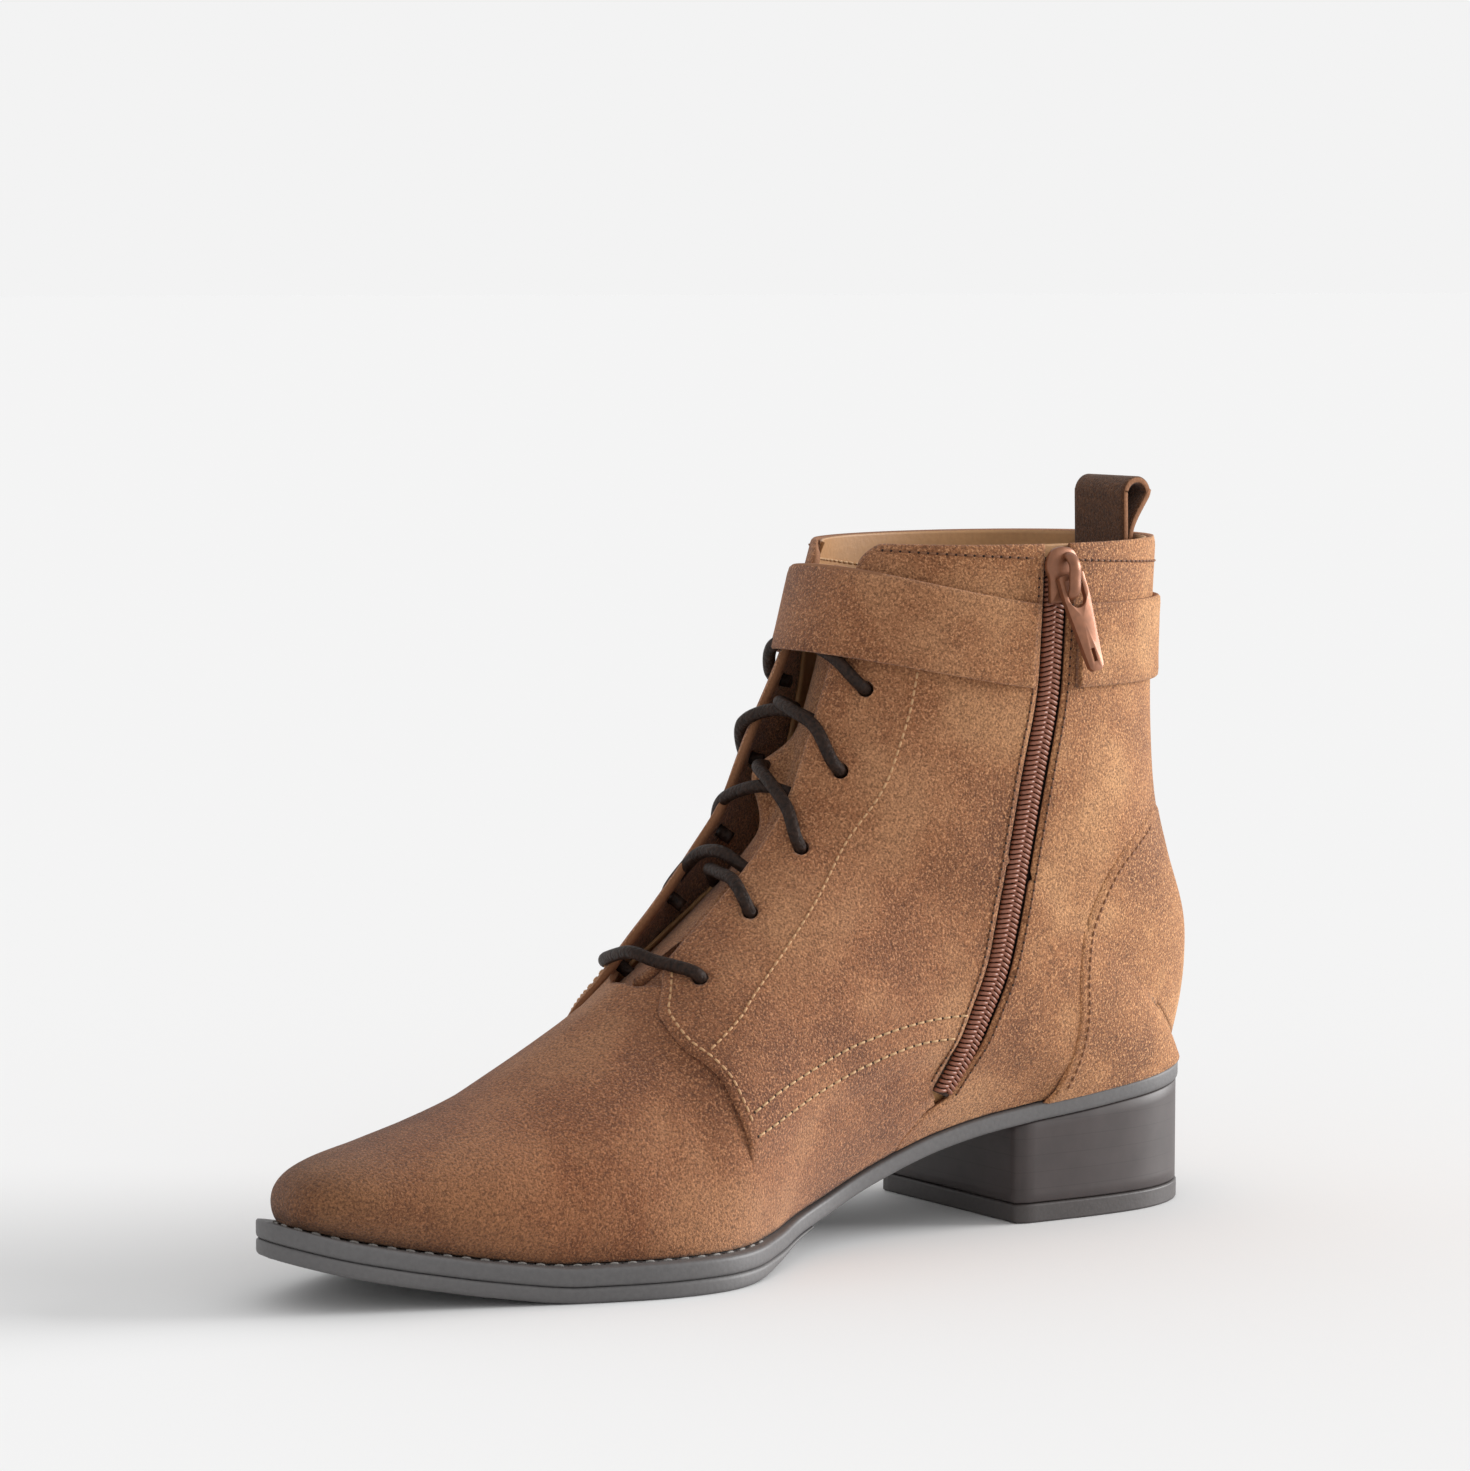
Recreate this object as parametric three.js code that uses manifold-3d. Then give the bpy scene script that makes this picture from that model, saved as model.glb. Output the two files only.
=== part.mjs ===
// A right ankle boot in suede, with a derby lacing, an inside zip, an ankle strap and a block heel.
// Millimetres. +Z is up, the toe points along -Y, and the inner side of the foot is +X.
// The floor is z = 0, and the origin ends up under the middle of the boot's box.
import * as THREE from 'three';
import { mergeVertices } from 'three/addons/utils/BufferGeometryUtils.js';
import Module from 'manifold-3d';

const wasm = await Module();
wasm.setup();

// Driving sizes of the boot
const soleLength = 258;
const ballWidth = 88;
const seatHeight = 35;
const toeSpring = 12;
const upperHeight = 129.5;
const midsoleThickness = 4.3;
const outsoleThickness = 3.7;
const weltShow = 4.8;
const upperWall = 1.8;
const quarterThickness = 1.2;
const counterThickness = 1.2;
const insoleThickness = 2;
const heelLength = 62;
const liftThickness = 4.7;
const throatWidth = 18;
const laceDiameter = 2.8;
const laceHole = 3.8;
const zipWidth = 7;
const chainWidth = 3.6;
const strapWidth = 20;
const strapThickness = 1.6;
const strapStandOff = 7;
const tongueThickness = 1.8;
const loopWidth = 19;
const loopHeight = 14;
const loopDepth = 9;
const loopThickness = 1.8;
const sliderLength = 12.5;
const sliderWidth = 8.4;
const sliderPlate = 1.8;
const pullLength = 23;
const pullThickness = 1.4;
const pinDiameter = 1.3;
const fit = 0.3;

// Finishes, as the photographed boot shows them
const suede = { color: 0x8a5a36, roughness: 0.95, metalness: 0 };
const lining = { color: 0xc69a62, roughness: 0.6, metalness: 0 };
const soleRubber = { color: 0x5a5a5c, roughness: 0.6, metalness: 0 };
const heelStack = { color: 0x3f3736, roughness: 0.45, metalness: 0 };
const waxedCord = { color: 0x3a2e2a, roughness: 0.5, metalness: 0 };
const darkSuede = { color: 0x5a3a22, roughness: 0.95, metalness: 0 };
const zipNylon = { color: 0x7a4a38, roughness: 0.5, metalness: 0 };
const lacquer = { color: 0x9a6a48, roughness: 0.35, metalness: 0.6 };

// A table is a list of columns' names and a row of numbers for each station.
function table(names, rows) {
  return rows.map((row) => Object.fromEntries(names.map((name, i) => [name, row[i]])));
}

// A column read between its rows, as a smooth curve through them.
function column(rows, name, place) {
  const last = rows.length - 1;
  const i = Math.max(0, Math.min(Math.floor(place), last - 1));
  const f = place - i;
  const b = rows[i][name];
  const c = rows[i + 1][name];
  const a = i > 0 ? rows[i - 1][name] : 2 * b - c;
  const d = i + 2 <= last ? rows[i + 2][name] : 2 * c - b;
  const square = 2 * a - 5 * b + 4 * c - d;
  const cube = 3 * b - a - 3 * c + d;
  return 0.5 * (2 * b + (c - a) * f + square * f * f + cube * f * f * f);
}

// The sole's outline from the toe's tip to the heel's back. "at" is a share of the length from the
// back, and the two edges are shares of the ball's width.
const outline = table(['at', 'medial', 'lateral'], [
  [1.000, 0.045, 0.045],
  [0.994, 0.112, -0.040],
  [0.974, 0.168, -0.116],
  [0.937, 0.222, -0.192],
  [0.880, 0.290, -0.275],
  [0.815, 0.372, -0.350],
  [0.750, 0.455, -0.425],
  [0.690, 0.515, -0.468],
  [0.635, 0.530, -0.475],
  [0.590, 0.492, -0.465],
  [0.545, 0.410, -0.445],
  [0.495, 0.315, -0.415],
  [0.430, 0.265, -0.380],
  [0.340, 0.262, -0.355],
  [0.240, 0.285, -0.350],
  [0.150, 0.312, -0.330],
  [0.085, 0.305, -0.300],
  [0.038, 0.245, -0.235],
  [0.010, 0.140, -0.130],
  [0.000, 0.000, 0.000],
]);
const heelBack = outline.length - 1;

// Heights along the sole: shares of the toe's spring, of the rise to the seat and of the forefoot's
// outsole, with the share of the welt that shows beside the upper.
const soleProfile = table(['at', 'spring', 'rise', 'layer', 'show'], [
  [1.00, 1.00, 0.00, 1.00, 1.00],
  [0.95, 0.68, 0.00, 1.00, 1.00],
  [0.90, 0.43, 0.00, 1.00, 1.00],
  [0.84, 0.19, 0.00, 1.00, 1.00],
  [0.77, 0.00, 0.00, 1.00, 1.00],
  [0.70, 0.00, 0.00, 1.00, 1.00],
  [0.63, 0.00, 0.00, 1.00, 0.90],
  [0.58, 0.00, 0.02, 0.88, 0.75],
  [0.52, 0.00, 0.13, 0.36, 0.50],
  [0.46, 0.00, 0.29, 0.00, 0.32],
  [0.40, 0.00, 0.47, 0.00, 0.28],
  [0.34, 0.00, 0.63, 0.00, 0.25],
  [0.28, 0.00, 0.74, 0.00, 0.22],
  [0.22, 0.00, 0.81, 0.00, 0.22],
  [0.12, 0.00, 0.90, 0.00, 0.22],
  [0.00, 0.00, 1.00, 0.00, 0.22],
]);

// Where a share of the length falls between the rows of the sole's profile.
function profilePlace(at) {
  const last = soleProfile.length - 1;
  let i = 0;
  while (i < last - 1 && soleProfile[i + 1].at > at) i += 1;
  const span = soleProfile[i].at - soleProfile[i + 1].at;
  return i + (soleProfile[i].at - at) / span;
}

const heelRise = seatHeight - midsoleThickness;

function soleHeights(at) {
  const place = profilePlace(THREE.MathUtils.clamp(at, 0, 1));
  const read = (name) => Math.max(0, column(soleProfile, name, place));
  const ground = read('spring') * toeSpring + read('rise') * heelRise;
  const seam = ground + read('layer') * outsoleThickness;
  return { ground, seam, top: seam + midsoleThickness, show: read('show') * weltShow };
}

// The outline as one ring: up the inner side from the toe's tip, and back down the outer side.
const ring = [
  ...outline.map((row) => [row.medial, row.at]),
  ...outline.slice(1, heelBack).reverse().map((row) => [row.lateral, row.at]),
].map(([x, at]) => new THREE.Vector2(x * ballWidth, -at * soleLength));

function ringPoint(place) {
  const count = ring.length;
  const i = Math.floor(place);
  const f = place - i;
  const [a, b, c, d] = [-1, 0, 1, 2].map((k) => ring[(((i + k) % count) + count) % count]);
  const read = (n) => {
    const square = 2 * a[n] - 5 * b[n] + 4 * c[n] - d[n];
    const cube = 3 * b[n] - a[n] - 3 * c[n] + d[n];
    return 0.5 * (2 * b[n] + (c[n] - a[n]) * f + square * f * f + cube * f * f * f);
  };
  return new THREE.Vector2(read('x'), read('y'));
}

// A point of the outline on one side, moved in by an inset at right angles to the edge.
function edgePoint(place, side, inset) {
  const near = 0.05;
  const here = ringPoint(side * place);
  const along = ringPoint(side * place + near).sub(ringPoint(side * place - near)).normalize();
  return here.add(new THREE.Vector2(-along.y, along.x).multiplyScalar(inset));
}

// The feather line: where the upper meets the sole.
function feather(place, side, extra = 0) {
  const rim = edgePoint(place, side, 0);
  const point = edgePoint(place, side, soleHeights(-rim.y / soleLength).show + extra);
  return new THREE.Vector3(point.x, point.y, soleHeights(-point.y / soleLength).top + fit);
}

// The back seam above the heel: its height over the seat, as a share of the upper's height, and how
// far it stands behind the heel's back, as a share of the length.
const backSeam = table(['up', 'behind'], [
  [0.000, -0.003],
  [0.085, 0.008],
  [0.165, 0.012],
  [0.245, 0.008],
  [0.360, -0.014],
  [0.480, -0.032],
  [0.640, -0.040],
  [0.820, -0.041],
  [1.000, -0.038],
]);

// Sections of the upper, each in its own plane from the front down to the sole's edge or to the back
// seam. "frontAt" is a share of the length, "frontUp" is the front's height over the sole as a share
// of the upper's height, and "frontX" and "wide" are shares of the ball's width. "edge" is a row of
// the outline, and past the last one it is a row of the back seam.
const sections = table(['frontAt', 'frontUp', 'frontX', 'edge', 'wide', 'full'], [
  [0.9810, 0.0000, 0.045, 0.0, 0.000, 0.85],
  [0.9850, 0.0350, 0.045, 1.0, 0.060, 0.85],
  [0.9730, 0.0850, 0.045, 1.9, 0.122, 0.90],
  [0.9420, 0.1300, 0.045, 2.9, 0.187, 0.98],
  [0.8850, 0.1800, 0.045, 4.0, 0.260, 1.06],
  [0.8050, 0.2480, 0.045, 5.1, 0.345, 1.16],
  [0.7250, 0.3250, 0.040, 6.2, 0.415, 1.26],
  [0.6600, 0.4000, 0.035, 7.4, 0.450, 1.34],
  [0.6190, 0.4560, 0.030, 9.0, 0.455, 1.36],
  [0.5870, 0.5140, 0.027, 10.6, 0.432, 1.32],
  [0.5560, 0.5640, 0.024, 11.7, 0.405, 1.27],
  [0.5260, 0.6140, 0.021, 12.7, 0.384, 1.21],
  [0.5010, 0.6600, 0.018, 13.7, 0.373, 1.15],
  [0.4810, 0.7060, 0.015, 15.2, 0.368, 1.10],
  [0.4610, 0.7680, 0.012, 17.2, 0.364, 1.06],
  [0.4440, 0.8350, 0.009, 19.0, 0.363, 1.03],
  [0.4280, 0.9000, 0.006, 20.9, 0.364, 1.00],
  [0.4110, 0.9700, 0.003, 22.9, 0.367, 0.97],
  [0.3950, 1.0400, 0.000, 25.0, 0.371, 0.94],
  [0.3780, 1.1100, 0.000, 27.0, 0.377, 0.92],
]);
const lastSection = sections.length - 1;

// The front line of the last shape, at a place along the sections.
function frontPoint(place) {
  const at = column(sections, 'frontAt', place);
  const up = Math.max(0, column(sections, 'frontUp', place)) * upperHeight;
  const x = column(sections, 'frontX', place) * ballWidth;
  return new THREE.Vector3(x, -at * soleLength, soleHeights(at).top + fit + up);
}

function endPoint(edge, side) {
  if (edge <= heelBack) return feather(edge, side);
  const place = Math.min(edge - heelBack, backSeam.length - 1);
  const seat = feather(heelBack, side);
  const z = seat.z + column(backSeam, 'up', place) * upperHeight;
  const lift = column(backSeam, 'behind', place) - backSeam[0].behind;
  return new THREE.Vector3(seat.x, seat.y + lift * soleLength, z);
}

// A point of the last shape: a place along the sections, a side and a share round the half section.
function lastPoint(place, side, round) {
  const edge = column(sections, 'edge', place);
  const front = frontPoint(place);
  const inner = endPoint(edge, 1);
  const outer = endPoint(edge, -1);
  const reach = Math.abs(inner.x - outer.x) / 2;
  const wide = Math.max(column(sections, 'wide', place) * ballWidth, reach * 1.005, 0.01);
  const full = column(sections, 'full', place);
  const endAngle = Math.PI - Math.asin(Math.min(1, Math.pow(reach / wide, 1 / full)));
  const angle = endAngle * round;
  const share = (1 - Math.cos(angle)) / (1 - Math.cos(endAngle));
  const middle = inner.clone().add(outer).multiplyScalar(0.5);
  const point = front.clone().lerp(middle, share);
  point.x += side * wide * Math.pow(Math.max(0, Math.sin(angle)), full);
  return point;
}

// The way out of the last shape at a point, from its neighbours.
function lastNormal(place, side, round) {
  const near = 0.004;
  const p = THREE.MathUtils.clamp(place, 0.15, lastSection - near);
  const r = THREE.MathUtils.clamp(round, 0.01, 0.99);
  const along = lastPoint(p + near, side, r).sub(lastPoint(p - near, side, r));
  const around = lastPoint(p, side, r + near).sub(lastPoint(p, side, r - near));
  return around.cross(along).multiplyScalar(side).normalize();
}


// Solids from meshes
function toSolid(geometry) {
  const bare = geometry.clone();
  for (const name of Object.keys(bare.attributes)) {
    if (name !== 'position') bare.deleteAttribute(name);
  }
  const merged = mergeVertices(bare, 1e-4);
  const index = merged.index.array;
  const kept = [];
  for (let i = 0; i < index.length; i += 3) {
    const [a, b, c] = [index[i], index[i + 1], index[i + 2]];
    if (a !== b && b !== c && c !== a) kept.push(a, b, c);
  }
  return new wasm.Manifold(new wasm.Mesh({
    numProp: 3,
    vertProperties: new Float32Array(merged.attributes.position.array),
    triVerts: new Uint32Array(kept),
  }));
}

function toGeometry(solid) {
  const mesh = solid.getMesh();
  const geometry = new THREE.BufferGeometry();
  geometry.setAttribute('position', new THREE.BufferAttribute(mesh.vertProperties, 3));
  geometry.setIndex(new THREE.BufferAttribute(mesh.triVerts, 1));
  return geometry;
}

// Rows of points joined into one skin. Each row is closed round, and the ends get a fan.
function loft(rows) {
  const points = rows.flat();
  const positions = points.flatMap((point) => point.toArray());
  const faces = [];
  const count = rows[0].length;
  for (let i = 0; i + 1 < rows.length; i += 1) {
    for (let j = 0; j < count; j += 1) {
      const a = i * count + j;
      const b = i * count + ((j + 1) % count);
      faces.push(a, b, a + count, b, b + count, a + count);
    }
  }
  const cap = (row, flip) => {
    const middle = new THREE.Vector3();
    rows[row].forEach((point) => middle.add(point));
    positions.push(...middle.divideScalar(count).toArray());
    const hub = positions.length / 3 - 1;
    for (let j = 0; j < count; j += 1) {
      const a = row * count + j;
      const b = row * count + ((j + 1) % count);
      faces.push(...(flip ? [b, a, hub] : [a, b, hub]));
    }
  };
  cap(0, true);
  cap(rows.length - 1, false);
  const geometry = new THREE.BufferGeometry();
  geometry.setAttribute('position', new THREE.Float32BufferAttribute(positions, 3));
  geometry.setIndex(faces);
  const solid = toSolid(geometry);
  if (solid.volume() > 0) return solid;
  for (let i = 0; i < faces.length; i += 3) [faces[i], faces[i + 1]] = [faces[i + 1], faces[i]];
  geometry.setIndex(faces);
  return toSolid(geometry);
}

// The upper's own form, grown or shrunk by an offset, which may change over the surface.
const formRows = 38;
const formRound = 10;
// How far the inside form runs past the sole's edge and past the collar, so that both are open
const openDrop = 1.5;
const openRise = 6;

function formPlaces() {
  const places = [];
  for (let i = 0; i <= formRows; i += 1) places.push((lastSection * i) / formRows);
  return places;
}

function form(offset, dropEnds = 0, raiseTop = 0) {
  const grow = typeof offset === 'function' ? offset : () => offset;
  const rows = formPlaces().map((place) => {
    const half = (side) => {
      const line = [];
      for (let j = 0; j <= formRound; j += 1) {
        const round = j / formRound;
        const point = lastPoint(place, side, round);
        const amount = grow(point);
        const way = place === 0 ? new THREE.Vector3(0, -1, 0) : lastNormal(place, side, round);
        line.push(point.addScaledVector(way, amount));
      }
      return line;
    };
    const inner = half(1);
    const outer = half(-1);
    const front = inner[0].clone().add(outer[0]).multiplyScalar(0.5);
    inner[0].copy(front);
    outer[0].copy(front);
    if (column(sections, 'edge', place) > heelBack) {
      const back = inner[formRound].clone().add(outer[formRound]).multiplyScalar(0.5);
      inner[formRound].copy(back);
      outer[formRound].copy(back);
    } else {
      inner[formRound].z -= dropEnds;
      outer[formRound].z -= dropEnds;
    }
    return [...inner.reverse(), ...outer.slice(1)];
  });
  if (raiseTop > 0) {
    rows.push(rows[rows.length - 1].map((p) => p.clone().add(new THREE.Vector3(0, 0, raiseTop))));
  }
  return loft(rows);
}

// A point in the side view: a share of the length from the heel's back, and a height over the sole
// as a share of the upper's height.
function sideView(at, up) {
  return new THREE.Vector2(-at * soleLength, soleHeights(at).top + fit + up * upperHeight);
}

// The place on the upper under a point of the side view, found step by step.
function findSurface(target, side) {
  let best = { place: 10, round: 0.5, miss: Infinity };
  for (let place = 1; place < lastSection; place += 1) {
    for (let round = 0.05; round < 1; round += 0.1) {
      const p = lastPoint(place, side, round);
      const miss = Math.hypot(p.y - target.x, p.z - target.y);
      if (miss < best.miss) best = { place, round, miss };
    }
  }
  const near = 0.001;
  for (let i = 0; i < 25; i += 1) {
    const p = lastPoint(best.place, side, best.round);
    const a = lastPoint(best.place + near, side, best.round).sub(p).divideScalar(near);
    const b = lastPoint(best.place, side, best.round + near).sub(p).divideScalar(near);
    const [dy, dz] = [target.x - p.y, target.y - p.z];
    const det = a.y * b.z - a.z * b.y;
    if (Math.abs(det) < 1e-9) break;
    const step = THREE.MathUtils.clamp((dy * b.z - dz * b.y) / det, -0.5, 0.5);
    const turn = THREE.MathUtils.clamp((a.y * dz - a.z * dy) / det, -0.1, 0.1);
    best.place = THREE.MathUtils.clamp(best.place + step, 0.2, lastSection);
    best.round = THREE.MathUtils.clamp(best.round + turn, 0.01, 0.99);
  }
  const { place, round } = best;
  return { place, round, point: lastPoint(place, side, round), normal: lastNormal(place, side, round) };
}

// A flat outline in the side view, cut through from one x to another.
const sideAxes = new THREE.Matrix4().makeBasis(
  new THREE.Vector3(0, 1, 0), new THREE.Vector3(0, 0, 1), new THREE.Vector3(1, 0, 0));

function sidePrism(points, fromX, toX) {
  const geometry = new THREE.ExtrudeGeometry(new THREE.Shape(points),
    { depth: toX - fromX, bevelEnabled: false });
  geometry.applyMatrix4(sideAxes);
  geometry.translate(fromX, 0, 0);
  return toSolid(geometry);
}

// A smooth line through points of the side view.
function smoothLine(points, steps) {
  return new THREE.SplineCurve(points).getPoints(steps);
}

// A band of even width along a line of the side view.
function ribbon(line, half) {
  const sides = [[], []];
  line.forEach((point, i) => {
    const ahead = line[Math.min(i + 1, line.length - 1)];
    const behind = line[Math.max(i - 1, 0)];
    const along = ahead.clone().sub(behind).normalize();
    const across = new THREE.Vector2(-along.y, along.x).multiplyScalar(half);
    sides[0].push(point.clone().add(across));
    sides[1].push(point.clone().sub(across));
  });
  return [...sides[0], ...sides[1].reverse()];
}

const farOut = ballWidth;
const overTop = seatHeight + upperHeight * 1.5;

// The sole: layers between two heights, with the outline moved in by an inset
function soleLayer(low, high, inset, from = 0, to = heelBack) {
  const steps = 48;
  const rows = [];
  for (let i = 0; i <= steps; i += 1) {
    const place = from + ((to - from) * i) / steps;
    const [inner, outer] = [1, -1].map((side) => edgePoint(place, side, inset(place, side)));
    const [a, b] = [inner, outer].map((p) => soleHeights(-p.y / soleLength));
    rows.push([
      new THREE.Vector3(inner.x, inner.y, high(a)),
      new THREE.Vector3(inner.x, inner.y, low(a)),
      new THREE.Vector3(outer.x, outer.y, low(b)),
      new THREE.Vector3(outer.x, outer.y, high(b)),
    ]);
  }
  return loft(rows);
}

const edgeInset = 0;
function midsoleSolid() {
  return soleLayer((h) => h.seam, (h) => h.top, () => edgeInset);
}

// The forefoot's tread layer ends in a thin edge under the waist.
const treadEnd = 11.2;
function outsoleSolid() {
  return soleLayer((h) => h.ground, (h) => Math.max(h.seam - fit, h.ground + 0.2), () => edgeInset,
    0, treadEnd);
}

// The insole fills the inside of the upper at the sole.
function insoleSolid() {
  const layer = soleLayer((h) => h.top + fit, (h) => h.top + fit + insoleThickness,
    (place, side) => soleHeights(-edgePoint(place, side, 0).y / soleLength).show);
  return layer.intersect(form(-upperWall - fit - 0.1, openDrop));
}

// The heel: the outline's back with a straight breast, under the seat
function heelOutline(inset) {
  const points = [];
  const steps = 32;
  const breast = -heelLength;
  for (const side of [1, -1]) {
    const half = [];
    for (let i = 0; i <= steps; i += 1) {
      const place = heelBack - 7 + (7 * i) / steps;
      const p = edgePoint(place, side, inset);
      if (p.y > breast) half.push(p);
    }
    const first = half[0].clone().setY(breast);
    half.unshift(first);
    points.push(...(side > 0 ? half : half.reverse().slice(1)));
  }
  return points;
}

function heelPrism(low, high, inset) {
  const geometry = new THREE.ExtrudeGeometry(new THREE.Shape(heelOutline(inset)),
    { depth: high - low, bevelEnabled: false });
  geometry.translate(0, 0, low);
  return toSolid(geometry);
}

const heelInset = 0.5;
function heelSolid() {
  const above = soleLayer((h) => h.ground - fit, () => seatHeight * 2, () => -3);
  return heelPrism(liftThickness + fit, seatHeight * 1.5, heelInset).subtract(above);
}

function liftSolid() {
  return heelPrism(0, liftThickness, heelInset - 0.3);
}

// Seams and edges in the side view, as shares of the length and of the upper's height
const quarterFront = table(['at', 'up'], [
  [0.594, 0.178],
  [0.603, 0.252],
  [0.607, 0.287],
  [0.615, 0.312],
  [0.627, 0.341],
  [0.630, 0.379],
  [0.627, 0.416],
  [0.618, 0.448],
  [0.606, 0.474],
]);
const zipLine = table(['at', 'up'], [
  [0.342, 0.085],
  [0.322, 0.155],
  [0.306, 0.225],
  [0.288, 0.305],
  [0.273, 0.415],
  [0.259, 0.530],
  [0.246, 0.650],
  [0.234, 0.770],
  [0.230, 0.880],
  [0.227, 1.020],
]);
const counterEdge = table(['at', 'up'], [
  [0.211, -0.030],
  [0.206, 0.020],
  [0.199, 0.080],
  [0.196, 0.150],
  [0.198, 0.240],
  [0.188, 0.335],
  [0.150, 0.440],
  [0.090, 0.505],
  [-0.100, 0.545],
]);
const laceRows = table(['at', 'up', 'across'], [
  [0.587, 0.448, 0.245],
  [0.526, 0.545, 0.222],
  [0.467, 0.628, 0.207],
  [0.424, 0.735, 0.204],
  [0.396, 0.861, 0.206],
  [0.371, 0.985, 0.206],
]);

function sideLine(rows) {
  return rows.map((row) => sideView(row.at, row.up));
}

// The quarters lie over the vamp. Their thickness runs out towards the sole, below the double seam.
const seamHigh = 0.235;
const seamAt = 0.465;
const seamFall = 2.2;
const seamFade = 0.09;

function quarterOffset(point) {
  const at = -point.y / soleLength;
  const up = (point.z - soleHeights(at).top) / upperHeight;
  const line = seamHigh - seamFall * (at - seamAt) * (at - seamAt);
  const rise = THREE.MathUtils.clamp((up - Math.max(line - seamFade, 0)) / seamFade, 0, 1);
  return quarterThickness * rise * rise * (3 - 2 * rise);
}

function quarterRegion() {
  const front = smoothLine(sideLine(quarterFront), 30);
  const last = front[front.length - 1];
  const shape = [
    ...front,
    new THREE.Vector2(last.x - 3, last.y + 4),
    new THREE.Vector2(-soleLength * 0.75, last.y + 20),
    new THREE.Vector2(-soleLength * 0.75, overTop),
    new THREE.Vector2(soleLength * 0.2, overTop),
    new THREE.Vector2(soleLength * 0.2, 0),
    new THREE.Vector2(front[0].x, 0),
  ];
  return sidePrism(shape, -farOut, farOut);
}

function counterRegion(grow) {
  const line = smoothLine(sideLine(counterEdge), 30).map((p) => new THREE.Vector2(p.x - grow, p.y + grow));
  const back = new THREE.Vector2(soleLength * 0.2, -grow);
  line.unshift(new THREE.Vector2(line[0].x, -grow));
  return sidePrism([...line, new THREE.Vector2(back.x, line[line.length - 1].y), back], -farOut, farOut);
}

// The throat: the gap between the two facings, from the vamp's end to the collar
const throatAt = 0.606;
function throatCut() {
  const half = throatWidth / 2;
  const low = sideView(throatAt, 0.44);
  const shape = new THREE.Shape([
    new THREE.Vector2(-half, low.y - 20),
    new THREE.Vector2(half, low.y - 20),
    new THREE.Vector2(half, overTop),
    new THREE.Vector2(-half, overTop),
  ]);
  const depth = soleLength * 0.36;
  const geometry = new THREE.ExtrudeGeometry(shape, { depth, bevelEnabled: false });
  geometry.rotateX(Math.PI / 2);
  geometry.translate(0, low.x + depth, 0);
  return toSolid(geometry);
}

// Holes for the lace, square to the facing at each row
function laceSpot(row, side) {
  const { at, up } = laceRows[row];
  return findSurface(sideView(at, up), side);
}

function laceHoles() {
  const holes = [];
  for (let row = 0; row < laceRows.length; row += 1) {
    for (const side of [1, -1]) {
      const spot = laceSpot(row, side);
      const geometry = new THREE.CylinderGeometry(laceHole / 2, laceHole / 2, 12, 10);
      const turn = new THREE.Quaternion().setFromUnitVectors(new THREE.Vector3(0, 1, 0), spot.normal);
      geometry.applyQuaternion(turn);
      geometry.translate(...spot.point.toArray());
      holes.push(toSolid(geometry));
    }
  }
  return holes;
}

// The inside zip: a slot in the quarter, and the tape with its chain in it
function zipSlot() {
  const line = smoothLine(sideLine(zipLine), 22);
  line[line.length - 1].y = overTop;
  return sidePrism(ribbon(line, zipWidth / 2), 0, farOut);
}

function upperSolid() {
  const counter = counterRegion(fit);
  const quarters = form(quarterOffset).intersect(quarterRegion()).subtract(counter);
  const outside = form(0).add(quarters);
  let shell = outside.subtract(form(-upperWall, openDrop, openRise));
  shell = shell.subtract(throatCut()).subtract(zipSlot());
  for (const hole of laceHoles()) shell = shell.subtract(hole);
  return shell;
}

function counterSolid() {
  const inside = form(fit).add(form(0)).add(form(0).translate(0, fit, 0));
  const skin = form(counterThickness + fit).subtract(inside);
  const below = soleLayer(() => -farOut, (h) => h.top + 1.5 * fit, () => -weltShow);
  return skin.intersect(counterRegion(-fit)).subtract(below);
}

const tapeDepth = 1.2;
const chainRise = 1.2;
function zipSolid() {
  const line = smoothLine(sideLine(zipLine), 22);
  line[line.length - 1].y = seatHeight + upperHeight - 1;
  const tape = zipWidth / 2 - 2 * fit;
  const chain = chainWidth / 2;
  const low = -0.2;
  const profile = [[-tape, -tapeDepth], [-tape, low], [-chain, low], [-chain, chainRise],
    [chain, chainRise], [chain, low], [tape, low], [tape, -tapeDepth]];
  const spots = line.map((target) => findSurface(target, 1));
  spots[0].point.add(spots[1].point.clone().sub(spots[0].point).setLength(2 * fit));
  return loft(spots.map((spot, i) => {
    const ahead = spots[Math.min(i + 1, spots.length - 1)].point;
    const behind = spots[Math.max(i - 1, 0)].point;
    const along = ahead.clone().sub(behind).normalize();
    const across = along.clone().cross(spot.normal).normalize();
    return profile.map(([side, out]) => spot.point.clone()
      .addScaledVector(across, side).addScaledVector(spot.normal, out));
  }));
}

// A point over the facings: a row of the lacing, a distance across from the middle, and one outwards
function throatPoint(row, across, out) {
  const side = across < 0 ? -1 : 1;
  const low = Math.min(Math.floor(row), laceRows.length - 2);
  const spots = [low, low + 1].map((r) => laceSpot(r, side));
  const place = THREE.MathUtils.lerp(spots[0].place, spots[1].place, row - low);
  let [a, b] = [0.002, 0.6];
  for (let i = 0; i < 30; i += 1) {
    const middle = (a + b) / 2;
    if (Math.abs(lastPoint(place, side, middle).x) < Math.abs(across)) a = middle;
    else b = middle;
  }
  const round = (a + b) / 2;
  return lastPoint(place, side, round).addScaledVector(lastNormal(place, side, Math.max(round, 0.03)), out);
}

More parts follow.
